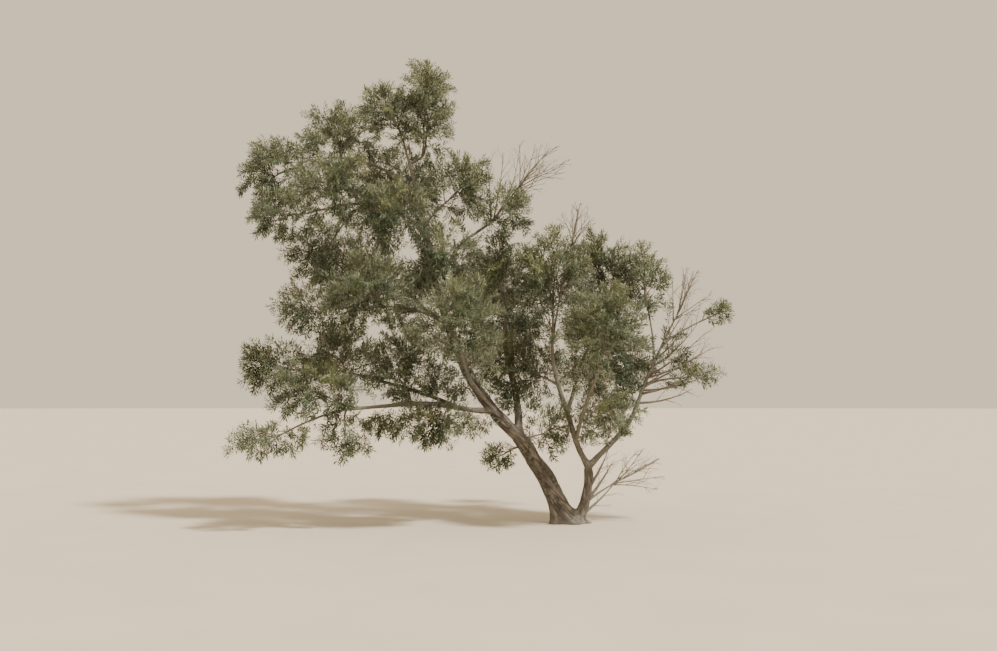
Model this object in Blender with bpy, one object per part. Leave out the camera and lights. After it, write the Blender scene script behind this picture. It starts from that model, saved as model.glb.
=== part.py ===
"""A two-stemmed olive tree that leans to one side, as trunk, limbs and masses of foliage.

Metres, +Z up. The origin is at ground level in the middle of the root flare, +X is the side away
from the lean and +Y is the back. Every limb is one tapering tube worked out from its length and
the angles it bends through. Every mass is one stem that branches by a seeded rule, with leaves
that each stand for a spray, inside an ellipsoid of its own.
"""

import math
import random
from collections import namedtuple

import bmesh
import bpy
from mathutils import Vector
from mathutils.kdtree import KDTree

GAP = 0.0003  # between two pieces that touch

# A limb springs from another, a share of the way along it, and bends evenly from each angle to the
# next: rises are degrees above level, headings degrees round from +X towards +Y.
Limb = namedtuple("Limb", "on at length rises headings foot tip")
LIMBS = {
    "trunk": Limb(None, 0.0, 1.45, (60, 65, 55, 55), (185, 185, 185, 180), 0.125, 0.092),
    "second_stem": Limb("trunk", 0.0, 0.80, (65, 80, 70), (355, 365, 505), 0.070, 0.056),
    "rising_limb": Limb(
        "trunk", 0.95, 4.55, (40, 60, 70, 80, 75, 75), (190, 175, 150, 185, 195, 185), 0.085, 0.014
    ),
    "upright_limb": Limb("trunk", 0.92, 1.80, (70, 70, 70, 80, 70), (80, 110, 130, 275, 260), 0.060, 0.022),
    "low_left_bough": Limb(
        "rising_limb", 0.10, 2.55, (0, 10, -5, -5, -25), (210, 205, 200, 200, 195), 0.042, 0.016
    ),
    "left_bough": Limb("low_left_bough", 0.20, 2.25, (25, 15, 15, -5), (170, 160, 185, 190), 0.030, 0.014),
    "mid_left_bough": Limb("rising_limb", 0.40, 1.50, (30, 10, -5, 0), (190, 205, 195, 195), 0.030, 0.016),
    "upper_left_bough": Limb(
        "rising_limb", 0.65, 1.90, (60, 20, -10, -15), (220, 220, 200, 170), 0.030, 0.014
    ),
    "high_left_bough": Limb(
        "rising_limb", 0.80, 1.85, (35, 35, 10, -20), (130, 150, 190, 215), 0.028, 0.014
    ),
    "top_bough": Limb("rising_limb", 0.90, 0.80, (10, 80, 85), (35, 35, -60), 0.022, 0.014),
    "upper_right_bough": Limb(
        "rising_limb", 0.50, 1.50, (70, 65, 25, 55), (50, -15, -15, -20), 0.032, 0.016
    ),
    "front_bough": Limb("rising_limb", 0.15, 1.15, (30, 30, 25), (235, 260, 265), 0.036, 0.020),
    "back_left_bough": Limb("rising_limb", 0.40, 1.70, (10, 30, 30), (115, 125, 135), 0.036, 0.018),
    "back_bough": Limb("upright_limb", 0.45, 1.55, (35, 35, 40), (90, 90, 100), 0.036, 0.020),
    "middle_limb": Limb(
        "second_stem", 0.94, 1.95, (55, 70, 65, 70, 75), (200, 220, 215, 240, 285), 0.045, 0.020
    ),
    "right_limb": Limb("second_stem", 0.90, 2.25, (45, 45, 70, 65, 65), (-15, -20, -15, 0, 0), 0.045, 0.014),
    "middle_fork": Limb("middle_limb", 0.40, 1.60, (65, 65, 60, 75), (50, 50, 25, 10), 0.030, 0.016),
    "front_right_bough": Limb("middle_limb", 0.20, 1.50, (45, 35, 50), (280, 280, 290), 0.030, 0.018),
    "back_right_bough": Limb("middle_fork", 0.40, 1.45, (25, 30, 40), (65, 70, 65), 0.026, 0.016),
}
SECOND_STEM_SEAT = Vector((0.135, 0.02, 0.05))  # where the second stem starts, inside the root flare
LIMB_STEP = 0.26  # from one ring of a limb to the next
TRUNK_SIDES = 15
STOUT_RADIUS = 0.06  # a limb at least this thick at its foot has the first of the two side counts
STOUT_SIDES, SLIM_SIDES = 8, 6
SHARPEST_SMOOTH = math.radians(40)  # between two faces of a limb that shade as one

# The root flare widens the trunk below this height, more along the line of the two stems.
FLARE_HEIGHT = 0.34
FLARE_ALONG, FLARE_ACROSS = 0.165, 0.105
FLARE_LOBES, LOBE_DEPTH = 5, 0.22

# A mass hangs on a limb, a share of the way along it, and fills an ellipsoid of three half sizes.
Mass = namedtuple("Mass", "on at centre size")
FOLIAGE = {
    "foliage_top": Mass("top_bough", 0.3, (-1.97, -0.02, 5.62), (0.52, 0.48, 0.86)),
    "foliage_top_left": Mass("rising_limb", 1.0, (-2.54, 0.00, 5.64), (0.52, 0.48, 0.52)),
    "foliage_high_left": Mass("high_left_bough", 0.75, (-3.26, 0.70, 5.44), (0.72, 0.64, 0.54)),
    "foliage_far_left": Mass("high_left_bough", 1.0, (-4.04, 0.10, 4.74), (0.61, 0.58, 0.60)),
    "foliage_upper_left": Mass("upper_left_bough", 1.0, (-3.86, -0.55, 4.08), (0.60, 0.56, 0.42)),
    "foliage_upper_left_front": Mass("upper_left_bough", 0.8, (-3.00, -1.20, 4.32), (0.66, 0.64, 0.56)),
    "foliage_upper_left_low": Mass("upper_left_bough", 0.6, (-3.36, -0.10, 3.62), (0.66, 0.64, 0.48)),
    "foliage_upper_middle": Mass("upper_left_bough", 0.35, (-2.30, -1.00, 3.98), (0.68, 0.66, 0.58)),
    "foliage_upper_back": Mass("high_left_bough", 0.35, (-2.50, 1.08, 4.76), (0.80, 0.78, 0.66)),
    "foliage_upper_right": Mass("rising_limb", 0.7, (-1.46, 0.05, 4.58), (0.62, 0.62, 0.54)),
    "foliage_right_tuft": Mass("upper_right_bough", 0.75, (-0.85, -0.30, 4.16), (0.48, 0.48, 0.50)),
    "foliage_centre": Mass("upper_right_bough", 0.25, (-1.68, -0.70, 3.48), (0.66, 0.60, 0.58)),
    "foliage_centre_right": Mass("upright_limb", 1.0, (-0.88, 0.00, 3.42), (0.64, 0.62, 0.56)),
    "foliage_mid_left": Mass("mid_left_bough", 1.0, (-3.45, -0.40, 2.88), (0.64, 0.60, 0.46)),
    "foliage_middle": Mass("mid_left_bough", 0.6, (-2.56, -1.20, 3.02), (0.74, 0.68, 0.60)),
    "foliage_mid_back": Mass("back_left_bough", 1.0, (-3.10, 1.16, 3.46), (0.80, 0.82, 0.72)),
    "foliage_left_tip": Mass("left_bough", 1.0, (-4.04, -0.10, 2.10), (0.55, 0.52, 0.47)),
    "foliage_left": Mass("left_bough", 0.7, (-3.20, 0.40, 2.26), (0.72, 0.68, 0.54)),
    "foliage_left_front": Mass("low_left_bough", 0.75, (-3.32, -1.02, 1.78), (0.72, 0.60, 0.46)),
    "foliage_low_left": Mass("low_left_bough", 1.0, (-3.86, -1.10, 1.12), (0.64, 0.54, 0.31)),
    "foliage_hanging": Mass("low_left_bough", 0.8, (-2.90, -0.92, 1.17), (0.46, 0.44, 0.38)),
    "foliage_left_inner": Mass("left_bough", 0.35, (-2.12, -0.50, 2.18), (0.78, 0.62, 0.54)),
    "foliage_low_inner": Mass("low_left_bough", 0.35, (-1.84, -0.70, 1.32), (0.88, 0.50, 0.36)),
    "foliage_front": Mass("front_bough", 1.0, (-1.45, -1.50, 2.66), (0.72, 0.70, 0.62)),
    "foliage_back": Mass("back_bough", 1.0, (-0.95, 1.40, 3.22), (0.88, 0.84, 0.76)),
    "foliage_right_left": Mass("middle_limb", 1.0, (-0.22, -0.45, 3.28), (0.68, 0.64, 0.76)),
    "foliage_right_top": Mass("middle_fork", 1.0, (0.42, 0.25, 3.48), (0.68, 0.62, 0.60)),
    "foliage_right_back": Mass("back_right_bough", 1.0, (0.60, 1.34, 2.90), (0.80, 0.80, 0.72)),
    "foliage_right_front": Mass("front_right_bough", 1.0, (0.40, -1.30, 2.58), (0.70, 0.66, 0.60)),
    "foliage_right_end": Mass("right_limb", 0.75, (1.00, -0.20, 3.28), (0.42, 0.52, 0.64)),
    "foliage_right_middle": Mass("middle_fork", 0.5, (0.74, 0.10, 2.10), (0.60, 0.60, 0.58)),
    "foliage_right_inner": Mass("middle_limb", 0.6, (-0.66, 0.20, 2.08), (0.78, 0.54, 0.64)),
    "foliage_right_low": Mass("front_right_bough", 0.4, (0.44, -0.56, 1.46), (0.58, 0.52, 0.42)),
    "foliage_right_arm": Mass("right_limb", 0.6, (1.68, -0.30, 1.98), (0.46, 0.34, 0.22)),
    "foliage_right_tip": Mass("right_limb", 0.87, (2.05, -0.20, 2.84), (0.24, 0.27, 0.23)),
    "foliage_fork": Mass("trunk", 0.85, (-0.24, 0.12, 1.24), (0.42, 0.40, 0.46)),
    "foliage_trunk_shoots": Mass("trunk", 0.82, (-0.98, -0.10, 0.88), (0.30, 0.30, 0.26)),
}
BARE_TWIGS = {
    "bare_twigs_top": Mass("upper_right_bough", 1.0, (-0.50, -0.10, 4.80), (0.62, 0.50, 0.42)),
    "bare_twigs_middle": Mass("middle_limb", 0.9, (0.10, -0.30, 3.98), (0.30, 0.30, 0.34)),
    "bare_twigs_right": Mass("right_limb", 0.92, (1.58, -0.15, 3.00), (0.38, 0.36, 0.46)),
    "bare_twigs_low": Mass("second_stem", 0.22, (0.86, 0.10, 0.66), (0.46, 0.42, 0.34)),
}
MASSES = FOLIAGE | BARE_TWIGS
MASS_GAP = 0.003  # each side of the plane that parts two masses
CLEARANCE = 0.004  # from a twig or leaf to a limb or to another mass's stem

TWIG_SIDES = 3
STEM_FOOT, STEM_TIP, STEM_STEPS = 0.020, 0.018, 4
STEM_SHARE = 0.8  # of its limb's radius there, where that makes the stem's foot slimmer
STEM_LEAD = 0.30  # share of the stem's length for which it keeps the way it set off
HUB_SHARE = 0.30  # how far the hub lies from the mass's centre towards its stem
BRANCH_FOOT, BRANCH_TIP = 0.010, 0.009
BRANCHES_PER_METRE = 8  # for each metre of a mass's mean half size
FEWEST_BRANCHES = 4
FURTHEST_BACK = -0.6  # the last branch's end, on a scale from 1 straight ahead to -1 at the stem
BARE_FURTHEST_BACK = 0.25  # the same for bare twigs, which fan out ahead
BARE_SHARE = 1.2  # of the branches that foliage of the same size has
TRIES, TRY_STEP = 6, 0.12  # where wood is in its way, a branch tries these turns, ever further aside
BRANCH_STEP = 0.05  # along the stem, from one branch to the next
SIDE_SPACING = 0.15  # between the leaves, or bare twigs, along a branch
FEWEST_SIDES = 3
LEAF_ANGLE, BARE_ANGLE, SIDE_SPREAD = 60, 34, 12  # degrees from the branch to a side leaf or twig
FACE_SPREAD = 0.5  # how far a side leaf's face turns from the way the branch points
LONGEST_LEAF = 0.62
LEAF_SHARE = 1.15  # of its mass's mean half size, where that makes it shorter
LEAF_MOST = 0.75  # of the room from the hub to the edge, for the leaf at a branch's end
ROOT_SHARE = 0.35  # of a side leaf's length, which may lie close to its neighbours
CROWDING = 0.74  # least distance between two leaves, of the sum of their half widths
SHORTEST, SHORTENED = 0.35, 0.8  # a side leaf without room is shortened by steps, down to the shortest
REACH = 0.98  # how much of the room to the edge a twig or leaf takes up
LEAF_WIDTH = 0.52  # of its length
LEAF_THICKNESS = 0.025  # of its length
LEAF_WIDEST = 0.48  # of its length from the root
LEAF_SUNK = 0.003  # how far the root lies past the middle of its twig
SIDE_TWIG_LENGTH, SIDE_TWIG_FOOT, SIDE_TWIG_TIP = 0.26, 0.004, 0.003
SAMPLE_STEP = 0.03
GOLDEN_ANGLE = math.pi * (3 - math.sqrt(5))
RIDGE_TURN = math.pi / 6  # lines up the ridge of a branch's end leaf with a corner of the branch

# Each finish is a colour and a roughness.
BARK = (0.24, 0.20, 0.16, 1), 0.9
DEAD_TWIG = (0.30, 0.26, 0.22, 1), 0.85
LEAF = (0.27, 0.33, 0.20, 1), 0.55


def clear_scene():
    for obj in list(bpy.data.objects):
        bpy.data.objects.remove(obj)


def link(name, bm):
    """The object that a bmesh makes."""
    bmesh.ops.recalc_face_normals(bm, faces=bm.faces)
    mesh = bpy.data.meshes.new(name)
    bm.to_mesh(mesh)
    bm.free()
    obj = bpy.data.objects.new(name, mesh)
    bpy.context.scene.collection.objects.link(obj)
    return obj


def paint(obj, finish):
    colour, roughness = finish
    material = bpy.data.materials.new(obj.name)
    material.use_nodes = True
    shader = material.node_tree.nodes["Principled BSDF"]
    shader.inputs["Base Color"].default_value = colour
    shader.inputs["Roughness"].default_value = roughness
    obj.data.materials.clear()
    obj.data.materials.append(material)


def apply_modifiers(obj):
    """Fix the modifiers' result in the mesh, less any scrap that a Boolean leaves apart."""
    depsgraph = bpy.context.evaluated_depsgraph_get()
    obj.data = bpy.data.meshes.new_from_object(obj.evaluated_get(depsgraph))
    obj.modifiers.clear()
    bm = bmesh.new()
    bm.from_mesh(obj.data)
    loose = set(bm.verts)
    shells = []
    while loose:
        shell = {loose.pop()}
        edge = list(shell)
        while edge:
            near = {e.other_vert(v) for v in edge for e in v.link_edges} & loose
            shell |= near
            loose -= near
            edge = list(near)
        shells.append(shell)
    shells.sort(key=len)
    scraps = [vert for shell in shells[:-1] for vert in shell]
    bmesh.ops.delete(bm, geom=scraps, context="VERTS")
    bm.to_mesh(obj.data)
    bm.free()


def cut_clear(obj, cutters):
    """Cut the cutters out of an object, and remove them."""
    for cutter in cutters:
        cutter.hide_render = True
        cutter.display_type = "WIRE"
        modifier = obj.modifiers.new("clearance", "BOOLEAN")
        modifier.operation = "DIFFERENCE"
        modifier.object = cutter
    apply_modifiers(obj)
    for cutter in cutters:
        bpy.data.objects.remove(cutter)


def join(obj, pieces):
    """Fuse the pieces to an object with one Boolean union, and remove them."""
    group = bpy.data.collections.new(obj.name + "_pieces")
    for piece in pieces:
        group.objects.link(piece)
    modifier = obj.modifiers.new("join", "BOOLEAN")
    modifier.operation = "UNION"
    modifier.operand_type = "COLLECTION"
    modifier.collection = group
    apply_modifiers(obj)
    for piece in pieces:
        bpy.data.objects.remove(piece)
    bpy.data.collections.remove(group)


def direction(rise, heading):
    level = math.cos(math.radians(rise))
    turn = math.radians(heading)
    return Vector((level * math.cos(turn), level * math.sin(turn), math.sin(math.radians(rise))))


def between(values, share):
    """The value a share of the way along a row of evenly spaced values."""
    place = min(max(share, 0), 1) * (len(values) - 1)
    first = min(int(place), len(values) - 2)
    return values[first] + (values[first + 1] - values[first]) * (place - first)


def across(way):
    """A level direction at right angles to a way, or +X if that points straight up."""
    level = Vector((-way.y, way.x, 0))
    return level.normalized() if level.length > 1e-6 else Vector((1, 0, 0))


def turned(way, spin):
    """A direction at right angles to a way, turned round it."""
    side = across(way)
    return side * math.cos(spin) + way.cross(side) * math.sin(spin)


def tangents(points):
    ways = [(after - before).normalized() for before, after in zip(points, points[1:])]
    return [ways[0]] + [(a + b).normalized() for a, b in zip(ways, ways[1:])] + [ways[-1]]


def frames(ways, first_side=None):
    """A side and an up direction at right angles to each way, that turn as little as they can."""
    side = first_side or across(ways[0])
    result = []
    for way in ways:
        side = (side - way * side.dot(way)).normalized()
        result.append((side, way.cross(side)))
    return result


def bridge(bm, low, high):
    """Triangles between two rings, which may differ in their number of points, or be one point."""
    i, j = 0, 0
    low_steps, high_steps = (len(ring) if len(ring) > 1 else 0 for ring in (low, high))
    while i < low_steps or j < high_steps:
        if j == high_steps or (i < low_steps and (i + 1) * high_steps <= (j + 1) * low_steps):
            bm.faces.new((low[i], low[(i + 1) % len(low)], high[j % len(high)]))
            i += 1
        else:
            bm.faces.new((low[i % len(low)], high[(j + 1) % len(high)], high[j]))
            j += 1


def skin(name, rings):
    """A closed solid through rings of points, where the first and last may be one point."""
    bm = bmesh.new()
    loops = [[bm.verts.new(point) for point in ring] for ring in rings]
    for low, high in zip(loops, loops[1:]):
        bridge(bm, low, high)
    for end in (loops[0], loops[-1]):
        if len(end) > 1:
            bm.faces.new(end)
    return link(name, bm)


def round_rings(points, radii, sides, first_way=None, first_side=None):
    """Rings square to a path, or to a given way at its start, that begin on a given side."""
    ways = tangents(points)
    ways[0] = first_way or ways[0]
    rings = []
    for point, radius, (side, up) in zip(points, radii, frames(ways, first_side)):
        turns = [math.tau * i / sides for i in range(sides)]
        rings.append([point + (side * math.cos(turn) + up * math.sin(turn)) * radius for turn in turns])
    return rings


def tapering(foot, tip, count):
    return [foot + (tip - foot) * i / (count - 1) for i in range(count)]


def centreline(limb, start):
    steps = round(limb.length / LIMB_STEP)
    points = [start]
    for step in range(steps):
        share = (step + 0.5) / steps
        way = direction(between(limb.rises, share), between(limb.headings, share))
        points.append(points[-1] + way * limb.length / steps)
    return points


def lay_out_limbs():
    """The centreline of every limb, each from the one that it springs from."""
    lines = {}
    for name, limb in LIMBS.items():
        if limb.on is None:
            start = Vector()
        elif name == "second_stem":
            start = SECOND_STEM_SEAT
        else:
            start = between(lines[limb.on], limb.at)
        lines[name] = centreline(limb, start)
    return lines


def trunk_rings(points, radii):
    """Round rings that level out and spread in lobes towards the ground."""
    ways = tangents(points)
    spread = [max(0.0, 1 - point.z / FLARE_HEIGHT) for point in points]
    ways = [way.lerp(Vector((0, 0, 1)), share).normalized() for way, share in zip(ways, spread)]
    rings = []
    for point, radius, share, (side, up) in zip(points, radii, spread, frames(ways)):
        ring = []
        for i in range(TRUNK_SIDES):
            turn = math.tau * i / TRUNK_SIDES
            way = side * math.cos(turn) + up * math.sin(turn)
            lobe = 1 + LOBE_DEPTH * math.cos(FLARE_LOBES * turn)
            flare = math.hypot(FLARE_ALONG * way.x, FLARE_ACROSS * way.y) * lobe * share * share
            ring.append(point + way * (radius + flare))
        rings.append(ring)
    return rings


def make_limb(name, points, grow=0.0):
    """One limb, or its cutter, which is larger all over by grow."""
    limb = LIMBS[name]
    ways = tangents(points)
    radii = tapering(limb.foot + grow, limb.tip + grow, len(points))
    ends = [points[0] - ways[0] * grow, *points[1:-1], points[-1] + ways[-1] * grow]
    if limb.on is None:
        return skin(name, trunk_rings([points[0], *ends[1:]], radii))
    sides = STOUT_SIDES if limb.foot >= STOUT_RADIUS else SLIM_SIDES
    return skin(name, round_rings(ends, radii, sides))


def samples(points, radii):
    """Points a short step apart along a path, each with the radius there."""
    length = sum((after - before).length for before, after in zip(points, points[1:]))
    count = max(2, math.ceil(length / SAMPLE_STEP) + 1)
    return [(between(points, i / (count - 1)), between(radii, i / (count - 1))) for i in range(count)]


def limb_samples(name, points):
    limb = LIMBS[name]
    return samples(points, tapering(limb.foot, limb.tip, len(points)))


def touches(first, second):
    return any((p - q).length < a + b for p, a in first for q, b in second)


def make_limbs(lines):
    made = []
    for name, points in lines.items():
        obj = make_limb(name, points)
        own = limb_samples(name, points)
        met = [other for other in made if touches(own, limb_samples(other, lines[other]))]
        if met:
            cut_clear(obj, [make_limb(other, lines[other], GAP) for other in met])
        obj.data.shade_smooth()
        obj.data.set_sharp_from_angle(angle=SHARPEST_SMOOTH)
        paint(obj, BARK)
        made.append(name)


class Space:
    """The room that one mass keeps to: its ellipsoid, up to a plane towards each near mass."""

    def __init__(self, name):
        mass = MASSES[name]
        self.centre = Vector(mass.centre)
        self.size = Vector(mass.size)
        self.mean = sum(mass.size) / 3
        self.leaf = min(LONGEST_LEAF, self.mean * LEAF_SHARE)
        self.planes = []
        for other in MASSES.values():
            apart = Vector(other.centre) - self.centre
            if apart.length == 0:
                continue
            way = apart.normalized()
            own, others = (way * self.size).length, (way * Vector(other.size)).length
            if own + others > apart.length:
                self.planes.append((way, apart.length * own / (own + others) - MASS_GAP))

    def reach(self, start, way):
        """How far a way leads from a start inside to the edge."""
        offset = start - self.centre
        p = Vector(a / b for a, b in zip(offset, self.size))
        d = Vector(a / b for a, b in zip(way, self.size))
        half = p.dot(d)
        room = (-half + math.sqrt(max(0.0, half * half - d.dot(d) * (p.dot(p) - 1)))) / d.dot(d)
        for normal, limit in self.planes:
            if way.dot(normal) > 0:
                room = min(room, (limit - offset.dot(normal)) / way.dot(normal))
        return room

    def holds(self, point):
        offset = point - self.centre
        inside = sum((a / b) ** 2 for a, b in zip(offset, self.size)) < 1
        return inside and all(offset.dot(normal) < limit for normal, limit in self.planes)


class Wood:
    """All limbs and stems, which twigs and leaves of other pieces keep clear of."""

    def __init__(self, paths):
        self.items = [(point, radius, name) for name, path in paths.items() for point, radius in path]
        self.widest = max(radius for _, radius, _ in self.items)
        self.tree = KDTree(len(self.items))
        for i, (point, _, _) in enumerate(self.items):
            self.tree.insert(point, i)
        self.tree.balance()

    def clears(self, path, own):
        for point, radius in path:
            for _, i, distance in self.tree.find_range(point, radius + self.widest + CLEARANCE):
                _, other_radius, name = self.items[i]
                if name != own and distance < radius + other_radius + CLEARANCE:
                    return False
        return True


def lay_out_stem(name, lines, space):
    """The stem's way points, from its limb to the hub inside its mass."""
    mass = MASSES[name]
    line = lines[mass.on]
    foot = between(line, mass.at)
    if mass.at == 1.0:
        foot = foot + tangents(line)[-1] * GAP
        lead = tangents(line)[-1]
    else:
        along = tangents(line)[round(mass.at * (len(line) - 1))]
        lead = (along + (space.centre - foot).normalized()).normalized()
    way_out = (foot - space.centre).normalized()
    entry = space.centre + way_out * min(space.reach(space.centre, way_out), (foot - space.centre).length)
    hub = space.centre.lerp(entry, HUB_SHARE)
    middle = foot + lead * (hub - foot).length * STEM_LEAD
    shares = [i / STEM_STEPS for i in range(STEM_STEPS + 1)]
    return [foot.lerp(middle, t).lerp(middle.lerp(hub, t), t) for t in shares]


def stem_radii(name):
    mass = MASSES[name]
    limb = LIMBS[mass.on]
    foot = min(STEM_FOOT, STEM_SHARE * (limb.foot + (limb.tip - limb.foot) * mass.at))
    return tapering(foot, min(STEM_TIP, foot), STEM_STEPS + 1)


def leaf_rim(root, way, flat, length):
    """The widest part of a leaf: its two sides and the ridge between them."""
    widest = root + way * length * LEAF_WIDEST
    out = flat * length * LEAF_WIDTH / 2
    return [widest + out, widest + way.cross(flat) * length * LEAF_THICKNESS, widest - out]


class Growth:
    """The twigs and leaves of one mass: each is added only where there is room for it."""

    def __init__(self, name, space, wood):
        self.name, self.space, self.wood = name, space, wood
        self.leafy = name in FOLIAGE
        self.side_angle = LEAF_ANGLE if self.leafy else BARE_ANGLE
        self.pieces, self.taken = [], []

    def add(self, rings, free_from):
        """Add a piece that stays in the mass's space, and clear of wood and of its other pieces."""
        points = [sum(ring, Vector()) / len(ring) for ring in rings]
        radii = [max((corner - point).length for corner in ring) for point, ring in zip(points, rings)]
        path = samples(points, radii)
        corners = [corner for ring in rings[1:] for corner in ring]
        if not all(self.space.holds(corner) for corner in corners):
            return False
        if not self.wood.clears(path, self.name):
            return False
        free = path[round(len(path) * free_from):]
        if any((p - q).length < (a + b) * CROWDING for p, a in free for q, b in self.taken):
            return False
        self.taken += free
        self.pieces.append(skin("piece", rings))
        return True

    def add_leaf(self, root, way, face):
        """Add a side leaf as long as there is room for, down to the shortest, or none."""
        length = min(self.space.leaf, self.space.reach(root, way) * REACH)
        flat = way.cross(face).normalized()
        while length > self.space.leaf * SHORTEST:
            rings = [[root - way * LEAF_SUNK], leaf_rim(root, way, flat, length), [root + way * length]]
            if self.add(rings, ROOT_SHARE):
                return
            length *= SHORTENED

    def add_bare_twig(self, root, way):
        tip = root + way * min(SIDE_TWIG_LENGTH, self.space.reach(root, way) * REACH)
        self.add(round_rings([root, tip], [SIDE_TWIG_FOOT, SIDE_TWIG_TIP], TWIG_SIDES), ROOT_SHARE)

    def start_branch(self, hub, way, spin):
        """Add a branch, with a leaf at its end where the mass has leaves, and return that end."""
        room = self.space.reach(hub, way) * REACH
        leaf = min(self.space.leaf, room * LEAF_MOST) if self.leafy else 0.0
        end = hub + way * (room - leaf)
        side = turned(way, spin)
        rings = round_rings([hub, end], [BRANCH_FOOT, BRANCH_TIP], TWIG_SIDES, first_side=side)
        if self.leafy:
            rings += [leaf_rim(end, way, turned(way, spin + RIDGE_TURN), leaf), [end + way * leaf]]
        return end if self.add(rings, 1 - leaf / room) else None

    def add_branch(self, number, hub, target):
        """A branch from the hub that ends in a leaf, with leaves or bare twigs from its faces in turn."""
        rng = random.Random(f"{self.name} {number}")
        first_way = (target - hub).normalized()
        spin = rng.uniform(0, math.tau)
        for way in ways_past(first_way):
            end = self.start_branch(hub, way, spin)
            if end:
                break
        else:
            return
        count = max(FEWEST_SIDES, round((end - hub).length / SIDE_SPACING))
        for i in range(count):
            root = hub.lerp(end, 1 - (i + 0.5) / (count + 1))
            angle = math.radians(self.side_angle + rng.uniform(-SIDE_SPREAD, SIDE_SPREAD))
            out = turned(way, spin + math.tau * (i + 0.5) / TWIG_SIDES)
            side_way = way * math.cos(angle) + out * math.sin(angle)
            if self.leafy:
                self.add_leaf(root, side_way, way + turned(way, rng.uniform(0, math.tau)) * FACE_SPREAD)
            else:
                self.add_bare_twig(root, side_way)


def ways_past(way):
    """A way, and then others that turn ever further from it."""
    for number in range(TRIES):
        yield (way + turned(way, GOLDEN_ANGLE * number) * TRY_STEP * number).normalized()


def targets(space, axis, count, furthest_back, turn):
    """Points spread over a mass's ellipsoid, the first one straight ahead along an axis."""
    for i in range(count):
        ahead = 1 - (1 - furthest_back) * i / (count - 1)
        out = turned(axis, GOLDEN_ANGLE * i + turn) * math.sqrt(1 - ahead * ahead)
        yield space.centre + (axis * ahead + out) * space.size


def make_mass(name, lines, stem, space, wood):
    mass = MASSES[name]
    first_way = tangents(lines[mass.on])[-1] if mass.at == 1.0 else None
    obj = skin(name, round_rings(stem, stem_radii(name), TWIG_SIDES, first_way))
    if mass.at < 1.0:
        cut_clear(obj, [make_limb(mass.on, lines[mass.on], GAP)])
    growth = Growth(name, space, wood)
    share, furthest_back = (1, FURTHEST_BACK) if growth.leafy else (BARE_SHARE, BARE_FURTHEST_BACK)
    count = max(FEWEST_BRANCHES, round(space.mean * BRANCHES_PER_METRE * share))
    axis = (space.centre - stem[0]).normalized()
    turn = random.Random(name).uniform(0, math.tau)
    length = sum((after - before).length for before, after in zip(stem, stem[1:]))
    for number, end in enumerate(targets(space, axis, count, furthest_back, turn)):
        growth.add_branch(number, between(stem, 1 - BRANCH_STEP * number / length), end)
    join(obj, growth.pieces)
    paint(obj, LEAF if name in FOLIAGE else DEAD_TWIG)


def main():
    clear_scene()
    lines = lay_out_limbs()
    make_limbs(lines)
    spaces = {name: Space(name) for name in MASSES}
    stems = {name: lay_out_stem(name, lines, spaces[name]) for name in MASSES}
    paths = {name: limb_samples(name, line) for name, line in lines.items()}
    paths |= {name: samples(stem, stem_radii(name)) for name, stem in stems.items()}
    wood = Wood(paths)
    for name, stem in stems.items():
        make_mass(name, lines, stem, spaces[name], wood)


main()
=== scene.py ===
"""A leaning olive tree with its bark, fine twigs and small leaves.

Metres, +Z up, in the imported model's frame. The limbs, the masses' spaces and the rule by which twigs
branch are the model's own, written again here and carried on to finer twigs: each large leaf of the
model becomes a spray, a twig with side shoots that bear small leaves in pairs.
"""

import math
import random
from collections import namedtuple

import bpy
import numpy as np
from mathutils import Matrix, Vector, noise
from mathutils.kdtree import KDTree

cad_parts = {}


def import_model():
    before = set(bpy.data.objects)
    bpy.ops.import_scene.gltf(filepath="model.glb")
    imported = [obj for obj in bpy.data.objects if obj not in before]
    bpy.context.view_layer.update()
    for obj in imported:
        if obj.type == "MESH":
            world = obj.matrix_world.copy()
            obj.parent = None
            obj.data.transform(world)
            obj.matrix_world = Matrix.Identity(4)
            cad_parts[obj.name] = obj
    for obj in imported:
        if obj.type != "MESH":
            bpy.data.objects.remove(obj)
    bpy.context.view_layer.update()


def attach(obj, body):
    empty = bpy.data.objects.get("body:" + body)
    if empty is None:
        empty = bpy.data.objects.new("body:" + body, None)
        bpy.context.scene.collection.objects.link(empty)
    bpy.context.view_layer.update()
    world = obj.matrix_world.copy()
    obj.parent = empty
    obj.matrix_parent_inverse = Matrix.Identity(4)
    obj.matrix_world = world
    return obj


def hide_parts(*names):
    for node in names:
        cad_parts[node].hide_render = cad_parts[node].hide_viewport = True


BODY = "root"
SEED = 7

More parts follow.
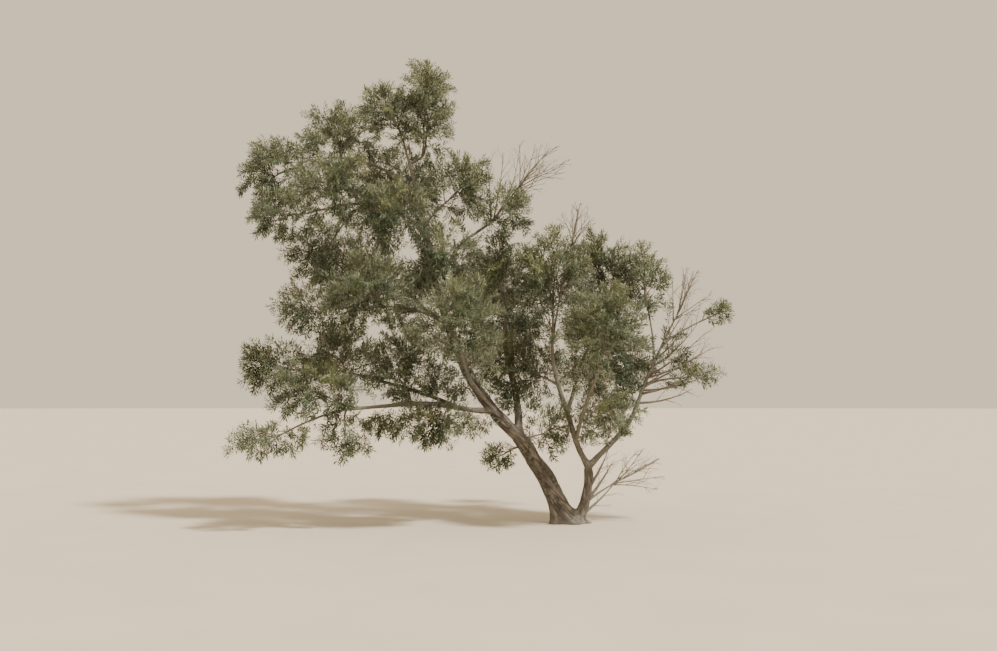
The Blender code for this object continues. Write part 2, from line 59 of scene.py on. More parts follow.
# A limb springs from another, a share of the way along it, and bends evenly from each angle to the
# next: rises are degrees above level, headings degrees round from +X towards +Y.
Limb = namedtuple("Limb", "on at length rises headings foot tip")
LIMBS = {
    "trunk": Limb(None, 0.0, 1.45, (60, 65, 55, 55), (185, 185, 185, 180), 0.125, 0.092),
    "second_stem": Limb("trunk", 0.0, 0.80, (65, 80, 70), (355, 365, 505), 0.070, 0.056),
    "rising_limb": Limb(
        "trunk", 0.95, 4.55, (40, 60, 70, 80, 75, 75), (190, 175, 150, 185, 195, 185), 0.085, 0.014
    ),
    "upright_limb": Limb("trunk", 0.92, 1.80, (70, 70, 70, 80, 70), (80, 110, 130, 275, 260), 0.060, 0.022),
    "low_left_bough": Limb(
        "rising_limb", 0.10, 2.55, (0, 10, -5, -5, -25), (210, 205, 200, 200, 195), 0.042, 0.016
    ),
    "left_bough": Limb("low_left_bough", 0.20, 2.25, (25, 15, 15, -5), (170, 160, 185, 190), 0.030, 0.014),
    "mid_left_bough": Limb("rising_limb", 0.40, 1.50, (30, 10, -5, 0), (190, 205, 195, 195), 0.030, 0.016),
    "upper_left_bough": Limb(
        "rising_limb", 0.65, 1.90, (60, 20, -10, -15), (220, 220, 200, 170), 0.030, 0.014
    ),
    "high_left_bough": Limb("rising_limb", 0.80, 1.85, (35, 35, 10, -20), (130, 150, 190, 215), 0.028, 0.014),
    "top_bough": Limb("rising_limb", 0.90, 0.80, (10, 80, 85), (35, 35, -60), 0.022, 0.014),
    "upper_right_bough": Limb("rising_limb", 0.50, 1.50, (70, 65, 25, 55), (50, -15, -15, -20), 0.032, 0.016),
    "front_bough": Limb("rising_limb", 0.15, 1.15, (30, 30, 25), (235, 260, 265), 0.036, 0.020),
    "back_left_bough": Limb("rising_limb", 0.40, 1.70, (10, 30, 30), (115, 125, 135), 0.036, 0.018),
    "back_bough": Limb("upright_limb", 0.45, 1.55, (35, 35, 40), (90, 90, 100), 0.036, 0.020),
    "middle_limb": Limb(
        "second_stem", 0.94, 1.95, (55, 70, 65, 70, 75), (200, 220, 215, 240, 285), 0.045, 0.020
    ),
    "right_limb": Limb("second_stem", 0.90, 2.25, (45, 45, 70, 65, 65), (-15, -20, -15, 0, 0), 0.045, 0.014),
    "middle_fork": Limb("middle_limb", 0.40, 1.60, (65, 65, 60, 75), (50, 50, 25, 10), 0.030, 0.016),
    "front_right_bough": Limb("middle_limb", 0.20, 1.50, (45, 35, 50), (280, 280, 290), 0.030, 0.018),
    "back_right_bough": Limb("middle_fork", 0.40, 1.45, (25, 30, 40), (65, 70, 65), 0.026, 0.016),
}
SECOND_STEM_SEAT = Vector((0.135, 0.02, 0.05))  # its start, inside the root flare
LIMB_STEP = 0.26  # from one bend of a limb to the next

# The root flare widens the trunk below this height, most along the line of the stems.
FLARE_HEIGHT = 0.34
FLARE_ALONG, FLARE_ACROSS = 0.165, 0.105
FLARE_LOBES, LOBE_DEPTH = 5, 0.22

# A mass hangs on a limb, a share of the way along it, and fills an ellipsoid of three half sizes.
Mass = namedtuple("Mass", "on at centre size")
FOLIAGE = {
    "foliage_top": Mass("top_bough", 0.3, (-1.97, -0.02, 5.62), (0.52, 0.48, 0.86)),
    "foliage_top_left": Mass("rising_limb", 1.0, (-2.54, 0.00, 5.64), (0.52, 0.48, 0.52)),
    "foliage_high_left": Mass("high_left_bough", 0.75, (-3.26, 0.70, 5.44), (0.72, 0.64, 0.54)),
    "foliage_far_left": Mass("high_left_bough", 1.0, (-4.04, 0.10, 4.74), (0.61, 0.58, 0.60)),
    "foliage_upper_left": Mass("upper_left_bough", 1.0, (-3.86, -0.55, 4.08), (0.60, 0.56, 0.42)),
    "foliage_upper_left_front": Mass("upper_left_bough", 0.8, (-3.00, -1.20, 4.32), (0.66, 0.64, 0.56)),
    "foliage_upper_left_low": Mass("upper_left_bough", 0.6, (-3.36, -0.10, 3.62), (0.66, 0.64, 0.48)),
    "foliage_upper_middle": Mass("upper_left_bough", 0.35, (-2.30, -1.00, 3.98), (0.68, 0.66, 0.58)),
    "foliage_upper_back": Mass("high_left_bough", 0.35, (-2.50, 1.08, 4.76), (0.80, 0.78, 0.66)),
    "foliage_upper_right": Mass("rising_limb", 0.7, (-1.46, 0.05, 4.58), (0.62, 0.62, 0.54)),
    "foliage_right_tuft": Mass("upper_right_bough", 0.75, (-0.85, -0.30, 4.16), (0.48, 0.48, 0.50)),
    "foliage_centre": Mass("upper_right_bough", 0.25, (-1.68, -0.70, 3.48), (0.66, 0.60, 0.58)),
    "foliage_centre_right": Mass("upright_limb", 1.0, (-0.88, 0.00, 3.42), (0.64, 0.62, 0.56)),
    "foliage_mid_left": Mass("mid_left_bough", 1.0, (-3.45, -0.40, 2.88), (0.64, 0.60, 0.46)),
    "foliage_middle": Mass("mid_left_bough", 0.6, (-2.56, -1.20, 3.02), (0.74, 0.68, 0.60)),
    "foliage_mid_back": Mass("back_left_bough", 1.0, (-3.10, 1.16, 3.46), (0.80, 0.82, 0.72)),
    "foliage_left_tip": Mass("left_bough", 1.0, (-4.04, -0.10, 2.10), (0.55, 0.52, 0.47)),
    "foliage_left": Mass("left_bough", 0.7, (-3.20, 0.40, 2.26), (0.72, 0.68, 0.54)),
    "foliage_left_front": Mass("low_left_bough", 0.75, (-3.32, -1.02, 1.78), (0.72, 0.60, 0.46)),
    "foliage_low_left": Mass("low_left_bough", 1.0, (-3.86, -1.10, 1.12), (0.64, 0.54, 0.31)),
    "foliage_hanging": Mass("low_left_bough", 0.8, (-2.90, -0.92, 1.17), (0.46, 0.44, 0.38)),
    "foliage_left_inner": Mass("left_bough", 0.35, (-2.12, -0.50, 2.18), (0.78, 0.62, 0.54)),
    "foliage_low_inner": Mass("low_left_bough", 0.35, (-1.84, -0.70, 1.32), (0.88, 0.50, 0.36)),
    "foliage_front": Mass("front_bough", 1.0, (-1.45, -1.50, 2.66), (0.72, 0.70, 0.62)),
    "foliage_back": Mass("back_bough", 1.0, (-0.95, 1.40, 3.22), (0.88, 0.84, 0.76)),
    "foliage_right_left": Mass("middle_limb", 1.0, (-0.22, -0.45, 3.28), (0.68, 0.64, 0.76)),
    "foliage_right_top": Mass("middle_fork", 1.0, (0.42, 0.25, 3.48), (0.68, 0.62, 0.60)),
    "foliage_right_back": Mass("back_right_bough", 1.0, (0.60, 1.34, 2.90), (0.80, 0.80, 0.72)),
    "foliage_right_front": Mass("front_right_bough", 1.0, (0.40, -1.30, 2.58), (0.70, 0.66, 0.60)),
    "foliage_right_end": Mass("right_limb", 0.75, (1.00, -0.20, 3.28), (0.42, 0.52, 0.64)),
    "foliage_right_middle": Mass("middle_fork", 0.5, (0.74, 0.10, 2.10), (0.60, 0.60, 0.58)),
    "foliage_right_inner": Mass("middle_limb", 0.6, (-0.66, 0.20, 2.08), (0.78, 0.54, 0.64)),
    "foliage_right_low": Mass("front_right_bough", 0.4, (0.44, -0.56, 1.46), (0.58, 0.52, 0.42)),
    "foliage_right_arm": Mass("right_limb", 0.6, (1.68, -0.30, 1.98), (0.46, 0.34, 0.22)),
    "foliage_right_tip": Mass("right_limb", 0.87, (2.05, -0.20, 2.84), (0.24, 0.27, 0.23)),
    "foliage_fork": Mass("trunk", 0.85, (-0.24, 0.12, 1.24), (0.42, 0.40, 0.46)),
    "foliage_trunk_shoots": Mass("trunk", 0.82, (-0.98, -0.10, 0.88), (0.30, 0.30, 0.26)),
}
BARE_TWIGS = {
    "bare_twigs_top": Mass("upper_right_bough", 1.0, (-0.50, -0.10, 4.80), (0.62, 0.50, 0.42)),
    "bare_twigs_middle": Mass("middle_limb", 0.9, (0.10, -0.30, 3.98), (0.30, 0.30, 0.34)),
    "bare_twigs_right": Mass("right_limb", 0.92, (1.58, -0.15, 3.00), (0.38, 0.36, 0.46)),
    "bare_twigs_low": Mass("second_stem", 0.22, (0.86, 0.10, 0.66), (0.46, 0.42, 0.34)),
}
MASSES = FOLIAGE | BARE_TWIGS
MASS_OVERLAP = 0.14  # how far leaves pass the plane that parts two masses
CLEARANCE, LEAF_CLEARANCE = 0.004, 0.010  # from a twig to others' wood, from a leaf to any wood
GAP = 0.0003

STEM_FOOT, STEM_TIP, STEM_STEPS = 0.020, 0.018, 4
STEM_END, BARE_STEM_END = 0.009, 0.008  # the radii that the visible stems end with
STEM_SHARE = 0.8  # of its limb's radius there, where that is slimmer
STEM_LEAD = 0.30  # of its length, for which it keeps the way it set off
HUB_SHARE = 0.30  # from the mass's centre towards its stem
BRANCHES_PER_METRE, FEWEST_BRANCHES = 8, 4  # for a metre of a mass's mean half size, and at least
BRANCHES_PER_AREA = 20  # for a square metre of it, where that gives more
FURTHEST_BACK, BARE_FURTHEST_BACK = -0.6, 0.25  # the last branch: 1 is straight ahead, -1 at the stem
BARE_SHARE, MORE_BARE = 1.2, 1.9  # bare branches: of what foliage has, and for each one of the model
MORE_AHEAD, MORE_TURN = 0.2, 1.7  # how the added branches are set off from the model's
TRIES, TRY_STEP = 6, 0.12  # a branch with wood in its way tries others, ever further aside
BRANCH_STEP = 0.05  # along the stem, from one branch to the next
BRANCH_RADII, BRANCH_BOW = (0.0085, 0.0045), 0.05  # the rise of its middle, of its length
SIDE_SPACING, FEWEST_SIDES, SIDE_ROWS = 0.15, 3, 3  # of the sprays, or bare twigs, along a branch
LEAF_ANGLE, BARE_ANGLE, SIDE_SPREAD = 60, 34, 12  # degrees from the branch
SIDE_TURN = 0.4  # how far round it a side spray strays, in radians
FACE_SPREAD = 0.5  # how far its face turns from the branch's way
FAN_ANGLE, FAN_TURN, FAN_SHARE = 36, 0.5, 0.90  # of the two sprays beside the one at a branch's end
RIDGE_TURN = math.pi / 6  # from a corner of a branch to the flat of the spray at its end
GOLDEN_ANGLE = math.pi * (3 - math.sqrt(5))

LONGEST_SPRAY = 0.62
SPRAY_SHARE = 1.15  # of its mass's mean half size, where that is shorter
SPRAY_MOST = 0.75  # of the room from the hub to the edge, for the spray at a branch's end
SHORTEST, SHORTENED = 0.35, 0.8  # without room it is shortened by steps, down to this
REACH = 0.98  # how much of the room to the edge a twig or leaf takes up
EDGE_WAVES, EDGE_DEPTH = 2.6, 0.20  # of a mass's edge: waves a metre, share of its size
SPRAY_WIDTH, SPRAY_WIDEST = 0.52, 0.48  # of its length, the second measured from its root
SPRAY_RADII, SPRAY_ROOM = (0.0034, 0.0012), (0.006, 0.002)  # its own, and those that are kept clear
SPRAY_BOW, BOW_SPREAD = 0.11, (0.3, 1.5)
SPRAY_BARE, SPRAY_LEAVES = 0.12, 0.24  # shares of its twig before side shoots, and before own leaves
SHOOT_SPACING, FEWEST_SHOOTS = 0.062, 3
SCATTER = 0.2, 0.8  # where in its step along a twig a shoot starts
SHOOT_ANGLE, SHOOT_SPREAD, SHOOT_ROLL = 44, 9, 55
SHOOT_EXTRA = 0.035  # length of a shoot besides what the spray's outline gives it
SHOOT_RADIUS, SHOOT_BARE = 0.0016, 0.15
SAMPLE_STEP, STEM_STEP = 0.03, 0.08

PAIR_SPACING, PAIR_TURN = 0.021, 0.25  # along a shoot, and how far a pair strays round it
LEAF_LENGTH, LEAF_SIZES = 0.088, (0.72, 1.1)
LEAF_SHRINK = 0.25  # towards the end of a shoot
LEAF_TRIANGLES = 4  # two on top and two underneath
LEAF_WIDTH, LEAF_FOLD, LEAF_MIDDLE = 0.235, 0.03, 0.45  # of the leaf's length
LEAF_LEAN, LEAF_LEAN_SPREAD = 48, 14  # degrees from the shoot to a leaf
LEAF_DROOP = -0.05, 0.20  # how far a leaf turns down, least and most
LEAF_UP, LEAF_OUTWARD, LEAF_SCATTER = 0.85, 0.45, 0.33  # what a leaf's upper side turns towards
LEAF_EDGE = 1.06  # no leaf passes this much of a mass's size
LAST_LEAF = LEAF_LENGTH * 0.8  # what it adds to a twig's length
LEAF_MARGIN = LAST_LEAF * 0.7  # from a shoot's end to the edge of its mass
OBLIQUE = 0.31, 0.27, 0.91  # a direction that no shoot has
THIRDS = 0, 2.0944, 4.1888  # of a full turn, in radians

# Sprays straight from the boughs, which join the masses.
BOUGH_STEP, BOUGH_STOUTEST, BOUGH_LOWEST = 0.115, 0.085, 1.0
BOUGH_ANGLE, BOUGH_TURN, BOUGH_RISE = 56, 0.5, 0.15
BOUGH_SPRAY = 0.34, 0.58
NEAR_MASS, NEAR_DEPTH = 1.22, 0.95  # their room, of a mass's size, and their ends', of that

# Bare twigs.
BARE_RADII, BARE_SIDE_RADII, BARE_FINE_RADII = (0.0095, 0.0030), (0.0045, 0.0016), (0.0022, 0.0011)
BARE_BOWS, SHOOT_BOWS = (-0.6, 1), (0.4, 1.6)
SIDE_TWIG, FINE_TWIG, FINE_TWIGS, FINE_SPREAD = 0.26, 0.11, 3, (0.6, 1.2)
FINE_AHEAD, FINE_ASIDE = 0.84, 0.54
SHOOT_SHARE, SHOOT_FEET = 0.7, (0.012, 0.028)  # a bare shoot's foot: of its limb's radius, least and most
TWIGS_FROM, TWIGS_OVER = 0.25, 0.7  # the part of a bare shoot that bears twigs

# Leafy shoots: the spray at the end, at most and of the shoot's length, and from how many sprays' length
# on the shoot has a stalk of its own; then all its sprays, as shares along the stalk and degrees aside.
END_SPRAY, END_SHARE, END_ROOM = 0.5, 0.9, 1.2
SHOOT_SPRAYS = (1, 0), (1, FAN_ANGLE), (1, -FAN_ANGLE), (0.55, 50), (0.3, -50)

# Shoots straight from a limb, leafy or bare as the mass that they count to: between which shares of the
# limb's length, how the first and the last rise, how many, and how long.
SHOOTS = (
    ("foliage_top", "top_bough", (0.9, 1.0), (72, 108), 3, 0.96),
    ("foliage_top_left", "rising_limb", (0.97, 1.0), (96, 132), 3, 0.92),
    ("foliage_high_left", "high_left_bough", (0.94, 1.0), (94, 124), 2, 0.50),
    ("foliage_far_left", "high_left_bough", (0.97, 1.0), (166, 184), 2, 1.06),
    ("foliage_left_tip", "left_bough", (0.97, 1.0), (162, 192), 3, 1.02),
    ("foliage_middle", "mid_left_bough", (0.50, 0.62), (-100, -70), 2, 0.40),
    ("foliage_hanging", "low_left_bough", (0.56, 0.66), (-116, -78), 3, 0.50),
    ("foliage_low_inner", "low_left_bough", (0.08, 0.26), (-72, -106), 4, 0.44),
    ("foliage_left_inner", "left_bough", (0.12, 0.48), (-130, -60), 4, 0.34),
    ("foliage_left_inner", "low_left_bough", (0.24, 0.46), (60, 120), 3, 0.34),
    ("foliage_right_inner", "rising_limb", (0.12, 0.26), (8, 48), 4, 0.46),
    ("foliage_right_low", "right_limb", (0.18, 0.44), (112, 150), 4, 0.46),
    ("foliage_right_low", "middle_limb", (0.10, 0.36), (62, 24), 4, 0.42),
    ("foliage_right_tuft", "upper_right_bough", (0.95, 1.0), (-12, 22), 2, 0.50),
    ("foliage_right_left", "middle_limb", (0.95, 1.0), (98, 108), 2, 1.30),
    ("foliage_right_top", "middle_fork", (0.95, 1.0), (58, 70), 2, 0.95),
    ("foliage_right_end", "right_limb", (0.62, 0.72), (34, 46), 2, 0.85),
    ("foliage_back", "back_bough", (0.24, 0.86), (196, -16), 8, 0.66),
    ("foliage_right_back", "back_right_bough", (0.24, 0.86), (-16, 196), 8, 0.62),
    ("foliage_mid_back", "back_left_bough", (0.24, 0.84), (196, -16), 8, 0.66),
    ("foliage_front", "front_bough", (0.24, 0.80), (196, -16), 6, 0.56),
    ("foliage_right_front", "front_right_bough", (0.40, 0.90), (-16, 196), 7, 0.56),
    ("bare_twigs_top", "upper_right_bough", (0.8, 1.0), (106, 44), 6, 0.95),
    ("bare_twigs_middle", "middle_fork", (0.8, 1.0), (110, 70), 4, 1.00),
    ("bare_twigs_right", "right_limb", (0.5, 0.9), (14, 66), 8, 1.00),
    ("bare_twigs_right", "right_limb", (0.58, 0.66), (15, 24), 2, 1.34),
    ("bare_twigs_low", "second_stem", (0.05, 0.5), (44, 62), 3, 0.84),
)
HEADINGS = -25, 25
LEAFY_LENGTHS, BARE_LENGTHS = (0.85, 1.0), (0.7, 1.0)  # of the row's length

TONES = {
    "deep": (0.036, 0.056, 0.024),
    "green": (0.060, 0.088, 0.038),
    "grey": (0.092, 0.118, 0.066),
    "light": (0.130, 0.155, 0.084),
    "young": (0.165, 0.180, 0.072),
}
UNDERSIDE = (0.25, 0.28, 0.20)
# The rise paints light and shade into the leaves: sprays high in a mass take paler tones, low ones deeper
# tones. The spread is the leaves' own varied tone.
TONE_MIDDLE, PAINTED_LIGHT_RISE, TONE_SPREAD = 0.44, 0.46, 0.40  # of the row of tones, from deep to young

PIECE_LIMIT = 190_000  # triangles in one piece of leaves or twigs

BARK_STEP, BARK_SIDES = 0.04, 28  # along a limb and round it, before the limbs are joined
VOXEL, SOFTENING = 0.0106, (0.5, 4)  # the softening's factor, and how often it runs
MOST_SWELL, SEAT_SHARE, SWELL_RUN = 0.45, 0.95, 1.3  # how much wider a limb starts on its parent
STOUT_TIP = 0.05  # a limb that ends thicker than this gets a rounded end
END_WIDTH, END_STEP = 0.5, 0.17  # of its rounded end, and what each ring before it gains
FORK_BLEND = 0.05  # how far two limbs' reliefs pass into each other
SEAM = VOXEL * 1.5  # no fine grain this near to where two limbs' grains meet
TWIST = 1.6  # radians a metre that the grain turns round a limb
STOUT = 0.11  # a limb of this radius has the deepest bark
GRAIN_STRETCH, LIMB_APART = 0.22, 0.4  # along a limb, and from one limb to the next
FISSURE_SCALE, FISSURE_TOP, FISSURE_MIDDLE = 24, 2.2, 0.4
FISSURE_KIND = 1.0, 2.1, 3, 1.0, 2.0  # the fractal's H, lacunarity, octaves, offset and gain
FISSURE_DEPTH, LEAST_DEPTH = 0.024, 0.0006
KNOT_SCALE, KNOT_STRETCH, KNOT_SHARE = 5.5, 0.7, 0.17
FLUTES, FLUTE_WANDER, FLUTE_SCALE, FLUTE_FROM, FLUTE_SHARE = 5, 2.2, 2.4, 0.3, 0.15

CAMERA_PLACE, CAMERA_PITCH, CAMERA_LENS = (-0.9452, -15.0, 1.60), 4.0636, 39.825
SENSOR, FURTHEST_SEEN = 36, 1000
FLOOR_RADIUS, FLOOR_DROP = 400, 0.001
FLOOR_TONES = (0.66, 0.58, 0.46), (0.69, 0.61, 0.49)
SKY, SKY_STRENGTH = (0.90, 0.75, 0.54, 1), 1.1
SUN, SUN_ENERGY, SUN_SPREAD, SUN_WAY = (1.0, 0.97, 0.92), 4.6, 7, (-0.6, 0.55, -1.0)
UP = Vector((0, 0, 1))
UPRIGHT = 0.2  # a twig that is steeper than this bows to one side


# The model's rule, written again.


def direction(rise, heading):
    level = math.cos(math.radians(rise))
    turn = math.radians(heading)
    return Vector((level * math.cos(turn), level * math.sin(turn), math.sin(math.radians(rise))))


def between(values, share):
    """The value a share of the way along a row of evenly spaced values."""
    place = min(max(share, 0), 1) * (len(values) - 1)
    first = min(int(place), len(values) - 2)
    return values[first] + (values[first + 1] - values[first]) * (place - first)


def limb_radius(name, share):
    return between((LIMBS[name].foot, LIMBS[name].tip), share)


def leaning(way, out, angle):
    """A way turned by an angle towards another at right angles to it."""
    return way * math.cos(angle) + out * math.sin(angle)


def turned(way, spin):
    """A direction at right angles to a way, turned round it."""
    side = across(way)
    return leaning(side, way.cross(side), spin)


def across(way):
    """A level direction at right angles to a way, or +X if that points straight up."""
    level = Vector((-way.y, way.x, 0))
    return level.normalized() if level.length > 1e-6 else Vector((1, 0, 0))


def aside(way, angle, spin):
    """A way turned by an angle, to the side that a spin round it gives."""
    return leaning(way, turned(way, spin), angle)


def about(rng, degrees, spread):
    """An angle near the one given, in radians."""
    return math.radians(degrees + rng.uniform(-spread, spread))


def path_length(points):
    return sum((after - before).length for before, after in zip(points, points[1:]))


def tangents(points):
    ways = [(after - before).normalized() for before, after in zip(points, points[1:])]
    return [ways[0]] + [(a + b).normalized() for a, b in zip(ways, ways[1:])] + [ways[-1]]


def frames(ways):
    """A side and an up direction at right angles to each way, that turn as little as they can."""
    side = across(ways[0])
    result = []
    for way in ways:
        side = (side - way * side.dot(way)).normalized()
        result.append((side, way.cross(side)))
    return result


def shares(count):
    """From 0 to 1 in even steps."""
    return [i / (count - 1) for i in range(count)]


def tapering(foot, tip, count):
    return [foot + (tip - foot) * i / (count - 1) for i in range(count)]


def samples(points, radii, step=SAMPLE_STEP):
    """Points a short step apart along a path, each with the radius there."""
    count = max(2, math.ceil(path_length(points) / step) + 1)
    return [(between(points, t), between(radii, t)) for t in shares(count)]


def centreline(limb, start):
    steps = round(limb.length / LIMB_STEP)
    points = [start]
    for step in range(steps):
        share = (step + 0.5) / steps
        way = direction(between(limb.rises, share), between(limb.headings, share))
        points.append(points[-1] + way * limb.length / steps)
    return points


def lay_out_limbs():
    """The centreline of every limb, each from the one that it springs from."""
    lines = {}
    for name, limb in LIMBS.items():
        if limb.on is None:
            start = Vector()
        elif name == "second_stem":
            start = SECOND_STEM_SEAT
        else:
            start = between(lines[limb.on], limb.at)
        lines[name] = centreline(limb, start)
    return lines


class Space:
    """The room that one mass keeps to: its ellipsoid, up to a plane towards each near mass."""

    def __init__(self, name, scale=1):
        mass = MASSES[name]
        self.centre = Vector(mass.centre)
        self.size = Vector(mass.size) * scale
        self.mean = sum(mass.size) / 3
        self.spray = min(LONGEST_SPRAY, self.mean * SPRAY_SHARE)
        self.planes = []
        for other in MASSES.values():
            apart = Vector(other.centre) - self.centre
            way = apart.normalized()
            own, others = (way * Vector(mass.size)).length, (way * Vector(other.size)).length
            if 0 < apart.length < own + others and scale == 1:
                self.planes.append((way, apart.length * own / (own + others) + MASS_OVERLAP))

    def scaled(self, offset):
        return Vector(a / b for a, b in zip(offset, self.size))

    def depth(self, point):
        """How far out a point lies, from 0 at the centre to 1 at the edge."""
        return self.scaled(point - self.centre).length

    def reach(self, start, way):
        """How far a way leads from a start inside to the edge."""
        offset = start - self.centre
        p, d = self.scaled(offset), self.scaled(way)
        half = p.dot(d)
        room = (-half + math.sqrt(max(0.0, half * half - d.dot(d) * (p.dot(p) - 1)))) / d.dot(d)
        room *= 1 + EDGE_DEPTH * noise.noise((start + way * room) * EDGE_WAVES)
        for normal, limit in self.planes:
            if way.dot(normal) > 0:
                room = min(room, (limit - offset.dot(normal)) / way.dot(normal))
        return room

    def holds(self, points):
        """Which of an array of points lie inside."""
        offsets = points - np.array(self.centre)
        inside = ((offsets / np.array(self.size)) ** 2).sum(1) < LEAF_EDGE ** 2
        for normal, limit in self.planes:
            inside &= offsets @ np.array(normal) < limit
        return inside


class Open(Space):
    """A mass's room without its edge, for shoots that stand clear of it."""

    def reach(self, start, way):
        return math.inf

    def holds(self, points):
        return np.ones(len(points), bool)


class Wood:
    """All limbs and stems, which twigs and leaves of other pieces keep clear of."""

    def __init__(self, paths):
        self.items = [(point, radius, name) for name, path in paths.items() for point, radius in path]
        self.points = np.array([item[0] for item in self.items])
        self.radii = np.array([item[1] for item in self.items])
        self.widest = max(self.radii)
        self.tree = KDTree(len(self.items))
        for i, (point, _, _) in enumerate(self.items):
            self.tree.insert(point, i)
        self.tree.balance()

    def clears(self, path, own):
        """Whether a path of points with radii touches no wood but its own."""
        for point, radius in path:
            for _, i, distance in self.tree.find_range(point, radius + self.widest + CLEARANCE):
                _, other_radius, name = self.items[i]
                if name not in own and distance < radius + other_radius + CLEARANCE:
                    return False
        return True

    def clear_of(self, points, room):
        """Which of an array of points lie further than the room from any wood."""
        low, high = points.min(0) - self.widest - room, points.max(0) + self.widest + room
        near = ((self.points > low) & (self.points < high)).all(1)
        clear = np.ones(len(points), bool)
        for centre, radius in zip(self.points[near], self.radii[near]):
            clear &= ((points - centre) ** 2).sum(1) > (radius + room) ** 2
        return clear


def lay_out_stem(name, lines, space):
    """The stem's way points, from its limb to the hub inside its mass."""
    mass = MASSES[name]
    line = lines[mass.on]
    foot = between(line, mass.at)
    lead = tangents(line)[round(mass.at * (len(line) - 1))]
    if mass.at == 1.0:
        foot = foot + lead * GAP
    else:
        lead = (lead + (space.centre - foot).normalized()).normalized()
    way_out = (foot - space.centre).normalized()
    entry = space.centre + way_out * min(space.reach(space.centre, way_out), (foot - space.centre).length)
    hub = space.centre.lerp(entry, HUB_SHARE)
    middle = foot + lead * (hub - foot).length * STEM_LEAD
    return [foot.lerp(middle, t).lerp(middle.lerp(hub, t), t) for t in shares(STEM_STEPS + 1)]


def stem_radii(name):
    foot = min(STEM_FOOT, STEM_SHARE * limb_radius(MASSES[name].on, MASSES[name].at))
    return tapering(foot, min(STEM_TIP, foot), STEM_STEPS + 1)


def ways_past(way):
    """A way, and then others that turn ever further from it."""
    for number in range(TRIES):
        yield (way + turned(way, GOLDEN_ANGLE * number) * TRY_STEP * number).normalized()


def targets(space, axis, count, furthest_back, turn):
    """Points spread over a mass's ellipsoid, the first one straight ahead along an axis."""
    for i in range(count):
        ahead = 1 - (1 - furthest_back) * i / (count - 1)
        out = turned(axis, GOLDEN_ANGLE * i + turn) * math.sqrt(1 - ahead * ahead)
        yield space.centre + (axis * ahead + out) * space.size


# Meshes.


def new_object(name, data):
    obj = bpy.data.objects.new(name, data)
    bpy.context.scene.collection.objects.link(obj)
    return obj


class Soup:
    """Triangles of many small things, gathered as arrays and made into one mesh."""

    def __init__(self):
        self.points, self.faces, self.slots, self.count = [], [], [], 0

    def add(self, points, faces, slots=0):
        self.points.append(points)
        self.faces.append(faces + self.count)
        self.slots.append(np.broadcast_to(slots, len(faces)))
        self.count += len(points)

    def join(self, other):
        if other.points:
            self.add(np.concatenate(other.points), np.concatenate(other.faces))

    def triangles(self):
        return sum(len(faces) for faces in self.faces)

    def make(self, name, materials, smooth):
        points, faces = np.concatenate(self.points), np.concatenate(self.faces)
        mesh = bpy.data.meshes.new(name)
        mesh.vertices.add(len(points))
        mesh.vertices.foreach_set("co", points.astype(np.float32).ravel())
        mesh.loops.add(faces.size)
        mesh.loops.foreach_set("vertex_index", faces.astype(np.int32).ravel())
        mesh.polygons.add(len(faces))
        mesh.polygons.foreach_set("loop_start", np.arange(0, faces.size, 3, dtype=np.int32))
        for material in materials:
            mesh.materials.append(material)
        mesh.polygons.foreach_set("material_index", np.concatenate(self.slots).astype(np.int32))
        mesh.update(calc_edges=True)
        mesh.shade_smooth() if smooth else mesh.shade_flat()
        return new_object(name, mesh)


def tube(points, radii, sides):
    """Points and triangles of a closed tube along a path."""
    corners = []
    for point, radius, (side, up) in zip(points, radii, frames(tangents(points))):
        corners += [point + leaning(side, up, math.tau * i / sides) * radius for i in range(sides)]
    return np.array(corners), tube_faces(len(points), sides)


def tube_faces(rings, sides):
    faces = []
    for ring in range(rings - 1):
        for i in range(sides):
            a, b = ring * sides + i, ring * sides + (i + 1) % sides
            faces += [(a, b, b + sides), (a, b + sides, a + sides)]
    last = (rings - 1) * sides
    for i in range(1, sides - 1):
        faces += [(0, i + 1, i), (last, last + i, last + i + 1)]
    return np.array(faces)


def unit(vectors):
    return vectors / np.linalg.norm(vectors, axis=1, keepdims=True)


def copies(corners, faces):
    """Points and triangles of many things, from arrays of each one's corners and the faces of one."""
    starts = np.arange(len(corners[0]))[:, None, None] * len(corners)
    return np.stack(corners, 1).reshape(-1, 3), (starts + np.array(faces)).reshape(-1, 3)


def cones(starts, ends, radius):
    """A slender three-sided cone from each start to each end."""
    ways = unit(ends - starts)
    sides = unit(np.cross(ways, OBLIQUE))
    ups = np.cross(ways, sides)
    feet = [starts + leaning(sides, ups, turn) * radius for turn in THIRDS]
    return copies([*feet, ends], [(0, 1, 3), (1, 2, 3), (2, 0, 3), (0, 2, 1)])


def leaf_mesh(roots, ways, faces_up, lengths, tones):
    """A folded leaf of four triangles for each root: two on top, and two underneath."""
    size = lengths[:, None]
    middles = roots + ways * size * LEAF_MIDDLE - faces_up * size * LEAF_FOLD
    halves = np.cross(faces_up, ways) * size * LEAF_WIDTH / 2
    corners = [roots, middles - halves, roots + ways * size, middles + halves]
    under = np.full(len(roots), len(TONES))
    slots = np.stack([tones, tones, under, under], 1).ravel()
    return *copies(corners, [(0, 1, 2), (0, 2, 3), (0, 3, 1), (2, 1, 3)]), slots


# Twigs and leaves.

Shoot = namedtuple("Shoot", "start end tone tipped")  # tipped: with wood and a last leaf of its own


def arched(start, end, bow, count):
    """A path that rises over the straight line between its ends."""
    way = end - start
    lift = UP - way * (way.z / way.length_squared)
    lift = lift.normalized() if lift.length > UPRIGHT else turned(way.normalized(), 0)
    return [start.lerp(end, t) + lift * way.length * bow * 4 * t * (1 - t) for t in shares(count)]


